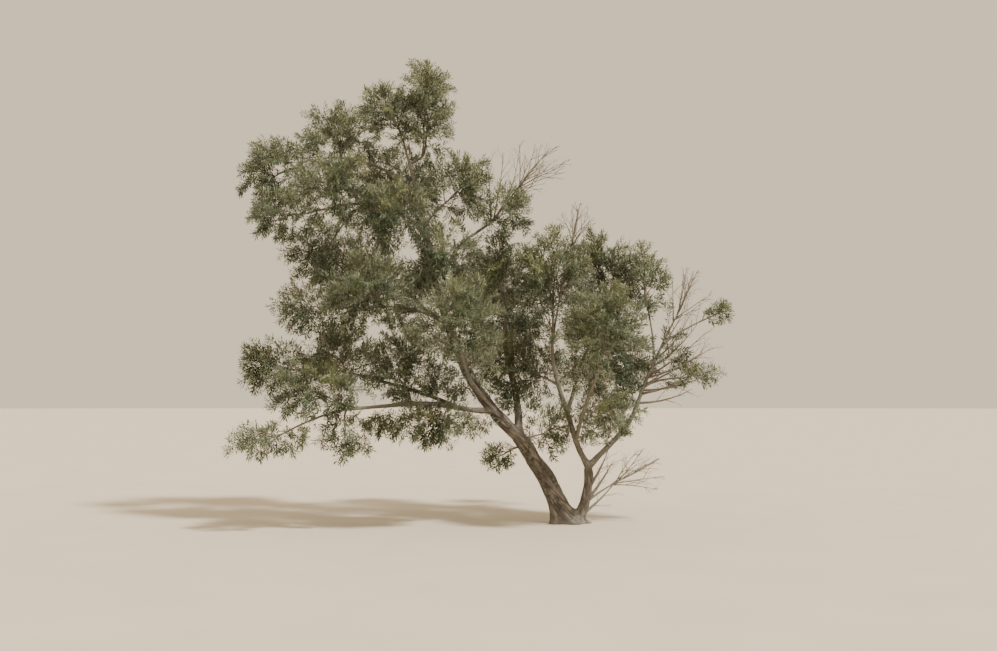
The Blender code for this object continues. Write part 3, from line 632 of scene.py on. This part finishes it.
class Crown:
    """The twigs and leaves of one mass."""

    def __init__(self, name, space, wood, own=()):
        self.name, self.space, self.wood = name, space, wood
        self.own = own or {name}  # the wood that its twigs may touch
        self.twigs = Soup()
        self.shoots = []
        self.rng = random.Random(f"{name} {SEED}")

    def join(self, other):
        self.shoots += other.shoots
        self.twigs.join(other.twigs)

    def add_twig(self, path, ends, sides):
        """A tube along a path, with its radii at both ends."""
        self.twigs.add(*tube(path, tapering(*ends, len(path)), sides))

    def add_cones(self):
        """The wood of the side shoots."""
        tipped = [shoot for shoot in self.shoots if shoot.tipped]
        starts, ends = np.array([shoot.start for shoot in tipped]), np.array([shoot.end for shoot in tipped])
        self.twigs.add(*cones(starts, ends, SHOOT_RADIUS))

    def spray_length(self, root, way, length):
        """As long as there is room for, clear of other wood, or 0."""
        while length > self.space.spray * SHORTEST:
            if self.wood.clears(samples([root, root + way * length], SPRAY_ROOM), self.own):
                return length
            length *= SHORTENED
        return 0.0

    def add_spray(self, root, way, flat, most):
        """A twig with side shoots on both sides, inside the outline of one leaf of the model."""
        length = self.spray_length(root, way, min(most, self.space.reach(root, way) * REACH))
        if not length:
            return
        rng = self.rng
        tone = self.pick_tone(root + way * length)
        end = root + way * (length - LAST_LEAF)
        path = arched(root, end, SPRAY_BOW * rng.uniform(*BOW_SPREAD), count=5)
        self.add_twig(path, SPRAY_RADII, sides=3)
        normal = way.cross(flat)
        ways = tangents(path)
        count = max(FEWEST_SHOOTS, round(length * (1 - SPRAY_BARE) / SHOOT_SPACING))
        for i in range(count):
            share = SPRAY_BARE + (1 - SPRAY_BARE) * (i + rng.uniform(*SCATTER)) / count
            start, along = between(path, share), between(ways, share).normalized()
            side = leaning(flat if i % 2 else -flat, normal, about(rng, 0, SHOOT_ROLL))
            angle = math.radians(rng.uniform(SHOOT_ANGLE - SHOOT_SPREAD, SHOOT_ANGLE + SHOOT_SPREAD))
            out = leaning(along, side, angle).normalized()
            outline = min(share / SPRAY_WIDEST, (1 - share) / (1 - SPRAY_WIDEST))
            reach = length * SPRAY_WIDTH / 2 * outline / math.sin(angle) + SHOOT_EXTRA
            reach = min(reach, self.space.reach(start, out) - LEAF_MARGIN)
            if reach > SHOOT_EXTRA / 2:
                self.shoots.append(Shoot(start, start + out * reach, tone, True))
        for first, second in zip(path, path[1:]):
            if (first - root).length > length * SPRAY_LEAVES:
                self.shoots.append(Shoot(first, second, tone, False))

    def pick_tone(self, tip):
        """Paler towards the top of its mass and deeper below, as painted light and shade, with a random
        spread of the leaves' own tones.
        """
        rise = PAINTED_LIGHT_RISE * (tip - self.space.centre).z / self.space.size.z
        light = TONE_MIDDLE + rise + self.rng.uniform(-TONE_SPREAD, TONE_SPREAD)
        return min(max(int(light * len(TONES)), 0), len(TONES) - 1)

    def add_branch(self, number, hub, target):
        """The model's branch, with sprays at its end and along it."""
        rng = random.Random(f"{self.name} {number}")
        first_way = (target - hub).normalized()
        spin = rng.uniform(0, math.tau)
        for way in ways_past(first_way):
            room = self.space.reach(hub, way) * REACH
            spray = min(self.space.spray, room * SPRAY_MOST)
            end = hub + way * (room - spray)
            if self.wood.clears(samples([hub, end], BRANCH_RADII), self.own):
                break
        else:
            return
        path = arched(hub, end, BRANCH_BOW, count=4)
        self.add_twig(path, BRANCH_RADII, sides=5)
        flat = turned(way, spin + RIDGE_TURN)
        self.add_spray(end, way, flat, spray)
        for side in (-1, 1):
            angle = about(rng, FAN_ANGLE, SIDE_SPREAD)
            turn = spin + RIDGE_TURN + side * math.pi / 2 + rng.uniform(-FAN_TURN, FAN_TURN)
            self.add_spray(end, aside(way, angle, turn), flat, spray * FAN_SHARE)
        sides = max(FEWEST_SIDES, round((room - spray) / SIDE_SPACING))
        for i in range(sides):
            angle = about(rng, LEAF_ANGLE, SIDE_SPREAD)
            turn = spin + math.tau * (i + 0.5) / SIDE_ROWS + rng.uniform(-SIDE_TURN, SIDE_TURN)
            side = aside(way, angle, turn)
            face = way + turned(way, rng.uniform(0, math.tau)) * FACE_SPREAD
            root = between(path, 1 - (i + 0.5) / (sides + 1))
            self.add_spray(root, side, side.cross(face).normalized(), self.space.spray)

    def add_bare_branch(self, number, hub, target):
        """The model's bare branch, with twigs along it."""
        rng = random.Random(f"{self.name} {number}")
        way = (target - hub).normalized()
        spin = rng.uniform(0, math.tau)
        end = hub + way * self.space.reach(hub, way) * REACH
        path = arched(hub, end, BRANCH_BOW * rng.uniform(*BARE_BOWS), count=6)
        self.add_twig(path, BARE_RADII, sides=5)
        sides = max(FEWEST_SIDES, round((end - hub).length / SIDE_SPACING))
        for i in range(sides):
            side = aside(way, about(rng, BARE_ANGLE, SIDE_SPREAD), spin + math.tau * (i + 0.5) / SIDE_ROWS)
            self.add_bare_twig(between(path, 1 - (i + 0.5) / (sides + 1)), side, rng)

    def add_leafy_shoot(self, root, way, length):
        """A twig with a fan of sprays at its end and others along it."""
        spray = min(END_SPRAY, length * END_SHARE)
        end = root + way * (length - spray)
        flat = turned(way, self.rng.uniform(0, math.tau))
        stalked = length > spray * END_ROOM
        if stalked:
            self.add_twig(arched(root, end, -BRANCH_BOW, count=4), BRANCH_RADII, sides=5)
        for share, aside in SHOOT_SPRAYS:
            if share == 1 or stalked:
                side = leaning(way, way.cross(flat), math.radians(aside))
                self.add_spray(root.lerp(end, share), side, flat, spray * (FAN_SHARE if aside else 1))

    def add_bare_shoot(self, root, way, length, foot):
        """A bare shoot that curves upward, with twigs along it."""
        path = arched(root, root + way * length, -BRANCH_BOW * self.rng.uniform(*SHOOT_BOWS), count=6)
        self.add_twig(path, (foot, BARE_RADII[1]), sides=6)
        ways = tangents(path)
        count = round(length / SIDE_SPACING)
        for i in range(count):
            share = TWIGS_FROM + TWIGS_OVER * (i + 0.5) / count
            angle = about(self.rng, BARE_ANGLE, SIDE_SPREAD)
            out = turned(way, math.tau * self.rng.random())
            side = leaning(between(ways, share), out, angle).normalized()
            self.add_bare_twig(between(path, share), side, self.rng)

    def add_bare_twig(self, root, way, rng):
        tip = root + way * min(SIDE_TWIG, self.space.reach(root, way) * REACH)
        path = arched(root, tip, BRANCH_BOW, count=4)
        self.add_twig(path, BARE_SIDE_RADII, sides=4)
        for i in range(FINE_TWIGS):
            start = between(path, (i + rng.uniform(*FINE_SPREAD)) / (FINE_TWIGS + 0.5))
            out = turned(way, rng.uniform(0, math.tau))
            side = (way * FINE_AHEAD + out * FINE_ASIDE).normalized()
            length = min(FINE_TWIG * rng.uniform(*FINE_SPREAD), self.space.reach(start, side) * REACH)
            self.add_twig([start, start + side * length], BARE_FINE_RADII, sides=3)

    def leaves(self):
        """Arrays of the mass's leaves: roots, ways, upper sides, lengths and tones."""
        draw = np.random.default_rng([SEED, len(self.name), len(self.shoots)])
        starts, ends, tones, tipped = (np.array(column) for column in zip(*self.shoots))
        spans = ends - starts
        lengths = np.linalg.norm(spans, axis=1)
        ways = spans / lengths[:, None]
        bare = np.where(tipped, SHOOT_BARE, 0)
        pairs = np.maximum(1, np.round(lengths * (1 - bare) / PAIR_SPACING)).astype(int)
        owner = np.repeat(np.arange(len(starts)), pairs)
        count = len(owner)
        order = np.arange(count) - np.repeat(np.cumsum(pairs) - pairs, pairs)
        share = bare[owner] + (1 - bare[owner]) * (order + 0.5) / pairs[owner]
        points = starts[owner] + spans[owner] * share[:, None]
        sides = unit(np.cross(ways, OBLIQUE))[owner]
        ups = np.cross(ways[owner], sides)
        turn = draw.uniform(0, math.tau, len(starts))[owner] + order * math.pi / 2
        turn += draw.normal(0, PAIR_TURN, count)
        outs = sides * np.cos(turn)[:, None] + ups * np.sin(turn)[:, None]
        size = 1 - LEAF_SHRINK * share * tipped[owner]
        rows = []
        for sign in (1, -1):
            lean = LEAF_LEAN + draw.uniform(-LEAF_LEAN_SPREAD, LEAF_LEAN_SPREAD, count)
            lean = np.radians(lean)[:, None]
            pair = ways[owner] * np.cos(lean) + outs * sign * np.sin(lean)
            rows.append((points, pair, size, tones[owner]))
        last_size = np.full(tipped.sum(), 1 - LEAF_SHRINK)
        rows.append((ends[tipped], ways[tipped], last_size, tones[tipped]))
        roots, ways, size, tones = (np.concatenate(column) for column in zip(*rows))
        count = len(roots)
        ways = unit(ways - np.array(UP) * draw.uniform(*LEAF_DROOP, count)[:, None])
        lengths = LEAF_LENGTH * size * draw.uniform(*LEAF_SIZES, count)
        outward = unit(roots - np.array(self.space.centre))
        towards = np.array(UP) * LEAF_UP + outward * LEAF_OUTWARD + draw.normal(0, LEAF_SCATTER, (count, 3))
        faces_up = unit(towards - ways * (towards * ways).sum(1)[:, None])
        tips = roots + ways * lengths[:, None]
        keep = self.space.holds(tips) & self.wood.clear_of((roots + tips) / 2, LEAF_CLEARANCE)
        return [values[keep] for values in (roots, ways, faces_up, lengths, tones)]


def grow(name, stem, space, wood):
    """The crown of one mass, on its stem."""
    crown = Crown(name, space, wood)
    radii = stem_radii(name)
    path = [point for point, _ in samples(stem, radii, STEM_STEP)]
    if name in FOLIAGE:
        add, share, back, stem_end = crown.add_branch, 1, FURTHEST_BACK, STEM_END
    else:
        add, share, back, stem_end = crown.add_bare_branch, BARE_SHARE, BARE_FURTHEST_BACK, BARE_STEM_END
    crown.add_twig(path, (radii[0], stem_end), sides=8)
    count = max(FEWEST_BRANCHES, round(space.mean * BRANCHES_PER_METRE * share))
    more = round(BRANCHES_PER_AREA * space.mean ** 2) - count
    if name in BARE_TWIGS:
        more = round(count * (MORE_BARE - 1))
    axis = (space.centre - stem[0]).normalized()
    turn = random.Random(name).uniform(0, math.tau)
    length = path_length(stem)
    for number, end in enumerate(targets(space, axis, count, back, turn)):
        add(number, between(stem, 1 - BRANCH_STEP * number / length), end)
    if more > 1:
        for number, end in enumerate(targets(space, axis, more, back + MORE_AHEAD, turn + MORE_TURN)):
            hub = between(stem, 1 - BRANCH_STEP * (number + 0.5) * count / more / length)
            add(count + number, hub, end)
    return crown


def on_limb(limb):
    """The names of a limb and of the masses whose stems spring from it."""
    return {limb} | {name for name, mass in MASSES.items() if mass.on == limb}


def bough_sprays(lines, wood):
    """Leafy twigs straight from the boughs, where a mass is near, as one crown for each mass."""
    crowns = {name: Crown(name, Space(name, NEAR_MASS), wood) for name in FOLIAGE}
    rng = random.Random(SEED)
    for name, line in lines.items():
        ways = tangents(line)
        count = round(LIMBS[name].length / BOUGH_STEP)
        for i in range(count):
            share = (i + rng.uniform(*SCATTER)) / count
            root, along = between(line, share), between(ways, share).normalized()
            out = turned(along, GOLDEN_ANGLE * i + rng.uniform(-BOUGH_TURN, BOUGH_TURN))
            way = leaning(along, out, about(rng, BOUGH_ANGLE, SIDE_SPREAD)) + UP * BOUGH_RISE
            way.normalize()
            length = rng.uniform(*BOUGH_SPRAY)
            depths = {mass: crown.space.depth(root + way * length) for mass, crown in crowns.items()}
            near = min(depths, key=depths.get)
            slim = limb_radius(name, share) < BOUGH_STOUTEST
            if slim and root.z > BOUGH_LOWEST and depths[near] < NEAR_DEPTH:
                crowns[near].own = on_limb(name)
                crowns[near].add_spray(root, way, way.cross(along).normalized(), length)
    return crowns


def limb_shoots(lines, wood):
    """Shoots straight from the limbs, each row as a crown with its mass's name."""
    for mass, limb, places, rises, count, length in SHOOTS:
        crown = Crown(mass, Open(mass), wood, on_limb(limb))
        for t in shares(count):
            share = between(places, t)
            root = between(lines[limb], share)
            way = direction(between(rises, t), crown.rng.uniform(*HEADINGS))
            if mass in FOLIAGE:
                crown.add_leafy_shoot(root, way, length * crown.rng.uniform(*LEAFY_LENGTHS))
            else:
                foot = min(max(limb_radius(limb, share) * SHOOT_SHARE, SHOOT_FEET[0]), SHOOT_FEET[1])
                crown.add_bare_shoot(root, way, length * crown.rng.uniform(*BARE_LENGTHS), foot)
        yield mass, crown


# Bark.


def smooth_path(points, step):
    """A curve through the way points, with a point about every step."""
    row = [points[0] * 2 - points[1], *points, points[-1] * 2 - points[-2]]
    path = []
    for a, b, c, d in zip(row, row[1:], row[2:], row[3:]):
        count = max(1, round((c - b).length / step))
        for t in (i / count for i in range(count)):
            square, cube = a * 2 - b * 5 + c * 4 - d, b * 3 - a - c * 3 + d
            path.append((b * 2 + (c - a) * t + square * t * t + cube * t ** 3) / 2)
    return path + [points[-1]]


def limb_tube(name, lines):
    """The smoothed path and the radii of one limb, with a rounded end where it is stout."""
    limb = LIMBS[name]
    path = smooth_path(lines[name], BARK_STEP)
    radii = tapering(limb.foot, limb.tip, len(path))
    if limb.tip > STOUT_TIP:
        radii = [r * min(1, END_WIDTH + END_STEP * i) for i, r in zip(reversed(range(len(path))), radii)]
    return path, radii


def bark_points(name, path, radii):
    """Rings of points along one limb, wider at its foot: the trunk's flare, or a swell on its parent."""
    limb = LIMBS[name]
    if limb.on is None:
        spread = [max(0.0, 1 - point.z / FLARE_HEIGHT) for point in path]
    else:
        spread = [0.0] * len(path)
        seat = limb_radius(limb.on, limb.at)
        swell = min(MOST_SWELL, SEAT_SHARE * seat / limb.foot - 1)
    ways = [way.lerp(UP, share).normalized() for way, share in zip(tangents(path), spread)]
    run = 0.0
    corners = []
    for i, (point, radius, share, (side, up)) in enumerate(zip(path, radii, spread, frames(ways))):
        run += (point - path[i - 1]).length if i else 0
        if limb.on is not None:
            radius *= 1 + swell * math.exp(-((run / seat / SWELL_RUN) ** 2))
        for k in range(BARK_SIDES):
            turn = math.tau * k / BARK_SIDES
            way = leaning(side, up, turn)
            lobe = 1 + LOBE_DEPTH * math.cos(FLARE_LOBES * turn)
            flare = math.hypot(FLARE_ALONG * way.x, FLARE_ACROSS * way.y) * lobe * share * share
            corners.append(point + way * (radius + flare))
    return np.array(corners)


def make_bark(lines, material):
    """All limbs joined into one mesh, then carved."""
    soup = Soup()
    guides = []
    for index, name in enumerate(LIMBS):
        path, radii = limb_tube(name, lines)
        soup.add(bark_points(name, path, radii), tube_faces(len(path), BARK_SIDES))
        guides.append(Guide(index, path, radii))
    obj = soup.make("bark", [material], smooth=True)
    remesh = obj.modifiers.new("join", "REMESH")
    remesh.mode = "VOXEL"
    remesh.voxel_size = VOXEL
    soften = obj.modifiers.new("soften", "SMOOTH")
    soften.factor, soften.iterations = SOFTENING
    obj.data = bpy.data.meshes.new_from_object(obj.evaluated_get(bpy.context.evaluated_depsgraph_get()))
    obj.modifiers.clear()
    carve(obj.data, guides)
    obj.data.materials.clear()
    obj.data.materials.append(material)
    obj.data.shade_smooth()
    return obj


class Guide:
    """The axis of one limb, by which its bark is laid out."""

    def __init__(self, index, path, radii):
        self.index = index
        ways = tangents(path)
        sides, ups = zip(*frames(ways))
        self.points, self.radii, self.ways = np.array(path), np.array(radii), np.array(ways)
        self.sides, self.ups = np.array(sides), np.array(ups)
        steps = np.linalg.norm(np.diff(self.points, axis=0), axis=1)
        self.runs = np.concatenate([[0], np.cumsum(steps)])

    def nearest(self, places):
        """For each place the nearest point of the axis, and how far off the bark it lies."""
        best = np.full(len(places), np.inf)
        index = np.zeros(len(places), int)
        for i, (point, radius) in enumerate(zip(self.points, self.radii)):
            apart = np.sqrt(((places - point) ** 2).sum(1)) - radius
            closer = apart < best
            best[closer] = apart[closer]
            index[closer] = i
        return index, best

    def relief(self, place, i):
        """How far the bark stands out at a place, its lie along the limb, its fissure and stoutness."""
        offset = place - self.points[i]
        a, b = offset @ self.sides[i], offset @ self.ups[i]
        along = self.runs[i] + offset @ self.ways[i]
        radius = self.radii[i]
        out = self.sides[i] * a + self.ups[i] * b
        out /= max(1e-6, math.hypot(a, b))
        twist = math.atan2(b, a) + along * TWIST
        size = min(1.0, radius / STOUT)
        run = along * GRAIN_STRETCH + self.index * LIMB_APART
        lie = Vector((math.cos(twist) * radius, math.sin(twist) * radius, run))
        fissure = noise.ridged_multi_fractal(lie * FISSURE_SCALE, *FISSURE_KIND) / FISSURE_TOP
        fissure = min(max(fissure, 0), 1)
        knot = noise.noise(Vector((place[0], place[1], place[2] * KNOT_STRETCH)) * KNOT_SCALE)
        wander = FLUTE_WANDER * noise.noise(Vector(place) * FLUTE_SCALE)
        flute = math.cos(FLUTES * twist + wander) * max(0.0, size - FLUTE_FROM)
        rise = (FISSURE_DEPTH * size + LEAST_DEPTH) * (FISSURE_MIDDLE - fissure)
        rise += radius * (KNOT_SHARE * knot + FLUTE_SHARE * flute)
        return out * rise, lie, fissure, size


def carve(mesh, guides):
    """Knots, flutes and fissures that run along each limb, deeper where it is stout."""
    count = len(mesh.vertices)
    row = np.arange(count)
    places = np.zeros(count * 3, np.float32)
    mesh.vertices.foreach_get("co", places)
    places = places.reshape(-1, 3).astype(float)
    nearest, apart = (np.stack(column) for column in zip(*(guide.nearest(places) for guide in guides)))
    first, second = np.argsort(apart, axis=0)[:2]
    gaps = apart[second, row] - apart[first, row]
    clear = np.clip((gaps - SEAM) / FORK_BLEND, 0, 1)
    crevice_shade, stout, moved, grain = np.zeros(count), np.zeros(count), places.copy(), places.copy()
    for k, gap in enumerate(gaps):
        shift, grain[k], crevice_shade[k], stout[k] = guides[first[k]].relief(places[k], nearest[first[k], k])
        if gap < FORK_BLEND:
            other, _, other_fissure, other_size = guides[second[k]].relief(places[k], nearest[second[k], k])
            share = 0.5 * (1 - gap / FORK_BLEND)
            shift = shift * (1 - share) + other * share
            crevice_shade[k] += (other_fissure - crevice_shade[k]) * share
            stout[k] += (other_size - stout[k]) * share
        moved[k] += shift
    moved[:, 2] = np.maximum(moved[:, 2], 0.0)
    mesh.vertices.foreach_set("co", moved.astype(np.float32).ravel())
    # The fissure value is stored for the bark's colour, which uses it to paint shade into the carved
    # fissures.
    for name, values in (("crevice_shade", crevice_shade), ("stout", stout), ("clear", clear)):
        data = mesh.attributes.new(name, "FLOAT", "POINT").data
        data.foreach_set("value", values.astype(np.float32))
    data = mesh.attributes.new("grain", "FLOAT_VECTOR", "POINT").data
    data.foreach_set("vector", grain.astype(np.float32).ravel())
    mesh.update()


# Materials.


def grey(value):
    return value, value, value


class Look:
    """A material, with a short way to add each kind of node."""

    def __init__(self, name, roughness):
        self.material = bpy.data.materials.new(name)
        self.material.use_nodes = True
        self.nodes, self.links = self.material.node_tree.nodes, self.material.node_tree.links
        self.shader = self.nodes["Principled BSDF"]
        self.shader.inputs["Roughness"].default_value = roughness

    def give(self, socket, value):
        if isinstance(value, tuple):
            socket.default_value = (*value, 1)
        elif isinstance(value, (int, float)):
            socket.default_value = value
        else:
            self.links.new(value, socket)

    def node(self, kind, **inputs):
        """A new node, with a value or a link for each input named."""
        node = self.nodes.new("ShaderNode" + kind)
        for name, value in inputs.items():
            self.give(node.inputs[name], value)
        return node

    def noise(self, scale, detail, vector=None, output="Fac"):
        vector = vector or self.node("TexCoord").outputs["Object"]
        return self.node("TexNoise", Scale=scale, Detail=detail, Vector=vector).outputs[output]

    def ramp(self, value, *stops):
        node = self.node("ValToRGB", Fac=value)
        ramp = node.color_ramp
        while len(ramp.elements) < len(stops):
            ramp.elements.new(1)
        for element, (place, colour) in zip(ramp.elements, stops):
            element.position = place
            element.color = (*colour, 1)
        return node.outputs["Color"]

    def mask(self, value, low, high, most=1):
        """Black up to the low value, and as pale as it gets from the high one."""
        return self.ramp(value, (low, grey(0)), (high, grey(most)))

    def mix(self, share, first, second, blend="MIX"):
        node = self.node("Mix")
        node.data_type = "RGBA"
        node.blend_type = blend
        for name, value in (("Factor", share), ("A", first), ("B", second)):
            self.give(next(s for s in node.inputs if s.name == name and s.enabled), value)
        return next(s for s in node.outputs if s.enabled)

    def product(self, first, second):
        node = self.node("Math")
        node.operation = "MULTIPLY"
        self.give(node.inputs[0], first)
        self.give(node.inputs[1], second)
        return node.outputs[0]

    def attribute(self, name, output="Fac"):
        node = self.node("Attribute")
        node.attribute_name = name
        return node.outputs[output]

    def bump(self, height, strength, distance):
        node = self.node("Bump", Strength=strength, Distance=distance, Height=height)
        self.links.new(node.outputs["Normal"], self.shader.inputs["Normal"])

    def coloured(self, colour):
        self.links.new(colour, self.shader.inputs["Base Color"])
        return self.material


def bark_material():
    """Grey-brown plates with dark cracks along the limb and pale lichen, smoother on slim boughs; the deep
    carved fissures are darkened with painted shade.
    """
    look = Look("bark", 0.9)
    stout, clear = look.attribute("stout"), look.attribute("clear")
    along = look.attribute("grain", "Vector")
    warped = look.node("VectorMath")
    warped.operation = "MULTIPLY_ADD"
    look.links.new(look.noise(30, 2, along, "Color"), warped.inputs[0])
    warped.inputs[1].default_value = grey(0.03)
    look.links.new(along, warped.inputs[2])
    cells = look.node("TexVoronoi", Scale=42, Vector=warped.outputs["Vector"])
    cells.feature = "DISTANCE_TO_EDGE"
    plates = look.mask(cells.outputs["Distance"], 0, 0.16)
    plates = look.mix(look.mask(look.noise(11, 3, along), 0.44, 0.62), plates, grey(0.86))
    plates = look.mix(clear, grey(0.72), plates)
    # Painted shade: the colour runs from pale on the ridges to nearly black in the deepest carved fissures.
    old = look.ramp(
        look.attribute("crevice_shade"),
        (0.10, (0.285, 0.26, 0.22)), (0.40, (0.17, 0.148, 0.12)), (0.80, (0.040, 0.033, 0.027)),
    )
    old = look.mix(0.62, old, plates, "MULTIPLY")
    fine = look.noise(110, 8, along)
    specks = look.ramp(fine, (0.3, (0.5, 0.47, 0.43)), (0.7, grey(1)))
    old = look.mix(look.product(clear, 0.5), old, specks, "MULTIPLY")
    young = look.ramp(look.noise(60, 6), (0.3, (0.135, 0.128, 0.10)), (0.7, (0.245, 0.232, 0.19)))
    base = look.mix(look.product(stout, 1.6), young, old)
    spots = look.mask(look.noise(3.2, 3), 0.52, 0.68, 0.8)
    crust = look.mask(look.noise(26, 5), 0.50, 0.60, 0.6)
    height = look.mix(0.45, plates, look.mix(clear, grey(0.5), fine))
    look.bump(look.product(height, stout), 1.0, 0.012)
    return look.coloured(look.mix(look.product(spots, crust), base, (0.29, 0.30, 0.24)))


def twig_material(name, dark, light):
    look = Look(name, 0.8)
    grain = look.noise(60, 4)
    look.bump(grain, 0.3, 0.001)
    return look.coloured(look.ramp(grain, (0.3, dark), (0.7, light)))


def leaf_material(name, colour, roughness):
    look = Look(name, roughness)
    dark, light = (tuple(c * share for c in colour) for share in (0.86, 1.14))
    return look.coloured(look.ramp(look.noise(35, 2), (0.35, dark), (0.65, light)))


# Floor, light and camera.


def make_stage():
    place = (0, 0, -FLOOR_DROP)
    bpy.ops.mesh.primitive_circle_add(vertices=180, radius=FLOOR_RADIUS, fill_type="NGON", location=place)
    floor = bpy.context.object
    floor.name = "floor"
    look = Look("floor", 0.9)
    dark, light = FLOOR_TONES
    floor.data.materials.append(look.coloured(look.ramp(look.noise(0.8, 3), (0.3, dark), (0.7, light))))
    world = bpy.data.worlds.new("world")
    world.use_nodes = True
    background = world.node_tree.nodes["Background"]
    background.inputs["Color"].default_value = SKY
    background.inputs["Strength"].default_value = SKY_STRENGTH
    bpy.context.scene.world = world
    sun = bpy.data.lights.new("sun", "SUN")
    sun.energy = SUN_ENERGY
    sun.angle = math.radians(SUN_SPREAD)
    sun.color = SUN
    new_object("sun", sun).rotation_euler = Vector(SUN_WAY).to_track_quat("-Z", "Y").to_euler()


def make_camera():
    camera = bpy.data.cameras.new("camera")
    camera.lens, camera.sensor_width, camera.clip_end = CAMERA_LENS, SENSOR, FURTHEST_SEEN
    obj = new_object("camera", camera)
    obj.location = CAMERA_PLACE
    obj.rotation_euler = (math.radians(90 + CAMERA_PITCH), 0, 0)
    bpy.context.scene.camera = obj


# The whole tree.


def piece(obj, nodes):
    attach(obj, BODY)
    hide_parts(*nodes)


def parcels(sizes):
    """Numbered rows of names whose triangles together stay under the limit."""
    rows, total = [[]], 0
    for name, triangles in sizes.items():
        if total + triangles > PIECE_LIMIT:
            rows.append([])
            total = 0
        rows[-1].append(name)
        total += triangles
    return enumerate(rows, 1)


def twig_piece(name, crowns, row, material):
    soup = Soup()
    for mass in row:
        soup.join(crowns[mass].twigs)
    piece(soup.make(name, [material], smooth=True), row)


def main():
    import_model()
    make_camera()
    lines = lay_out_limbs()
    spaces = {name: Space(name) for name in MASSES}
    stems = {name: lay_out_stem(name, lines, spaces[name]) for name in MASSES}
    radii = {name: tapering(LIMBS[name].foot, LIMBS[name].tip, len(line)) for name, line in lines.items()}
    radii |= {name: stem_radii(name) for name in MASSES}
    wood = Wood({name: samples(line, radii[name]) for name, line in (lines | stems).items()})
    piece(make_bark(lines, bark_material()), LIMBS)

    crowns = {name: grow(name, stems[name], spaces[name], wood) for name in MASSES}
    leaves = {name: crowns[name].leaves() for name in FOLIAGE}
    for name, extra in [*bough_sprays(lines, wood).items(), *limb_shoots(lines, wood)]:
        if extra.shoots:
            leaves[name] = [np.concatenate(pair) for pair in zip(leaves[name], extra.leaves())]
        crowns[name].join(extra)

    greens = [leaf_material(f"leaf_{name}", colour, 0.5) for name, colour in TONES.items()]
    greens.append(leaf_material("leaf_underside", UNDERSIDE, 0.65))
    for number, row in parcels({name: len(part[0]) * LEAF_TRIANGLES for name, part in leaves.items()}):
        soup = Soup()
        for name in row:
            soup.add(*leaf_mesh(*leaves[name]))
        piece(soup.make(f"leaves_{number}", greens, smooth=False), row)

    for name in FOLIAGE:
        crowns[name].add_cones()
    brown = twig_material("twigs", (0.13, 0.115, 0.09), (0.22, 0.20, 0.155))
    for number, row in parcels({name: crowns[name].twigs.triangles() for name in FOLIAGE}):
        twig_piece(f"twigs_{number}", crowns, row, brown)
    dead = twig_material("bare_twigs", (0.15, 0.13, 0.105), (0.27, 0.24, 0.20))
    twig_piece("bare_twigs", crowns, BARE_TWIGS, dead)

    make_stage()


main()
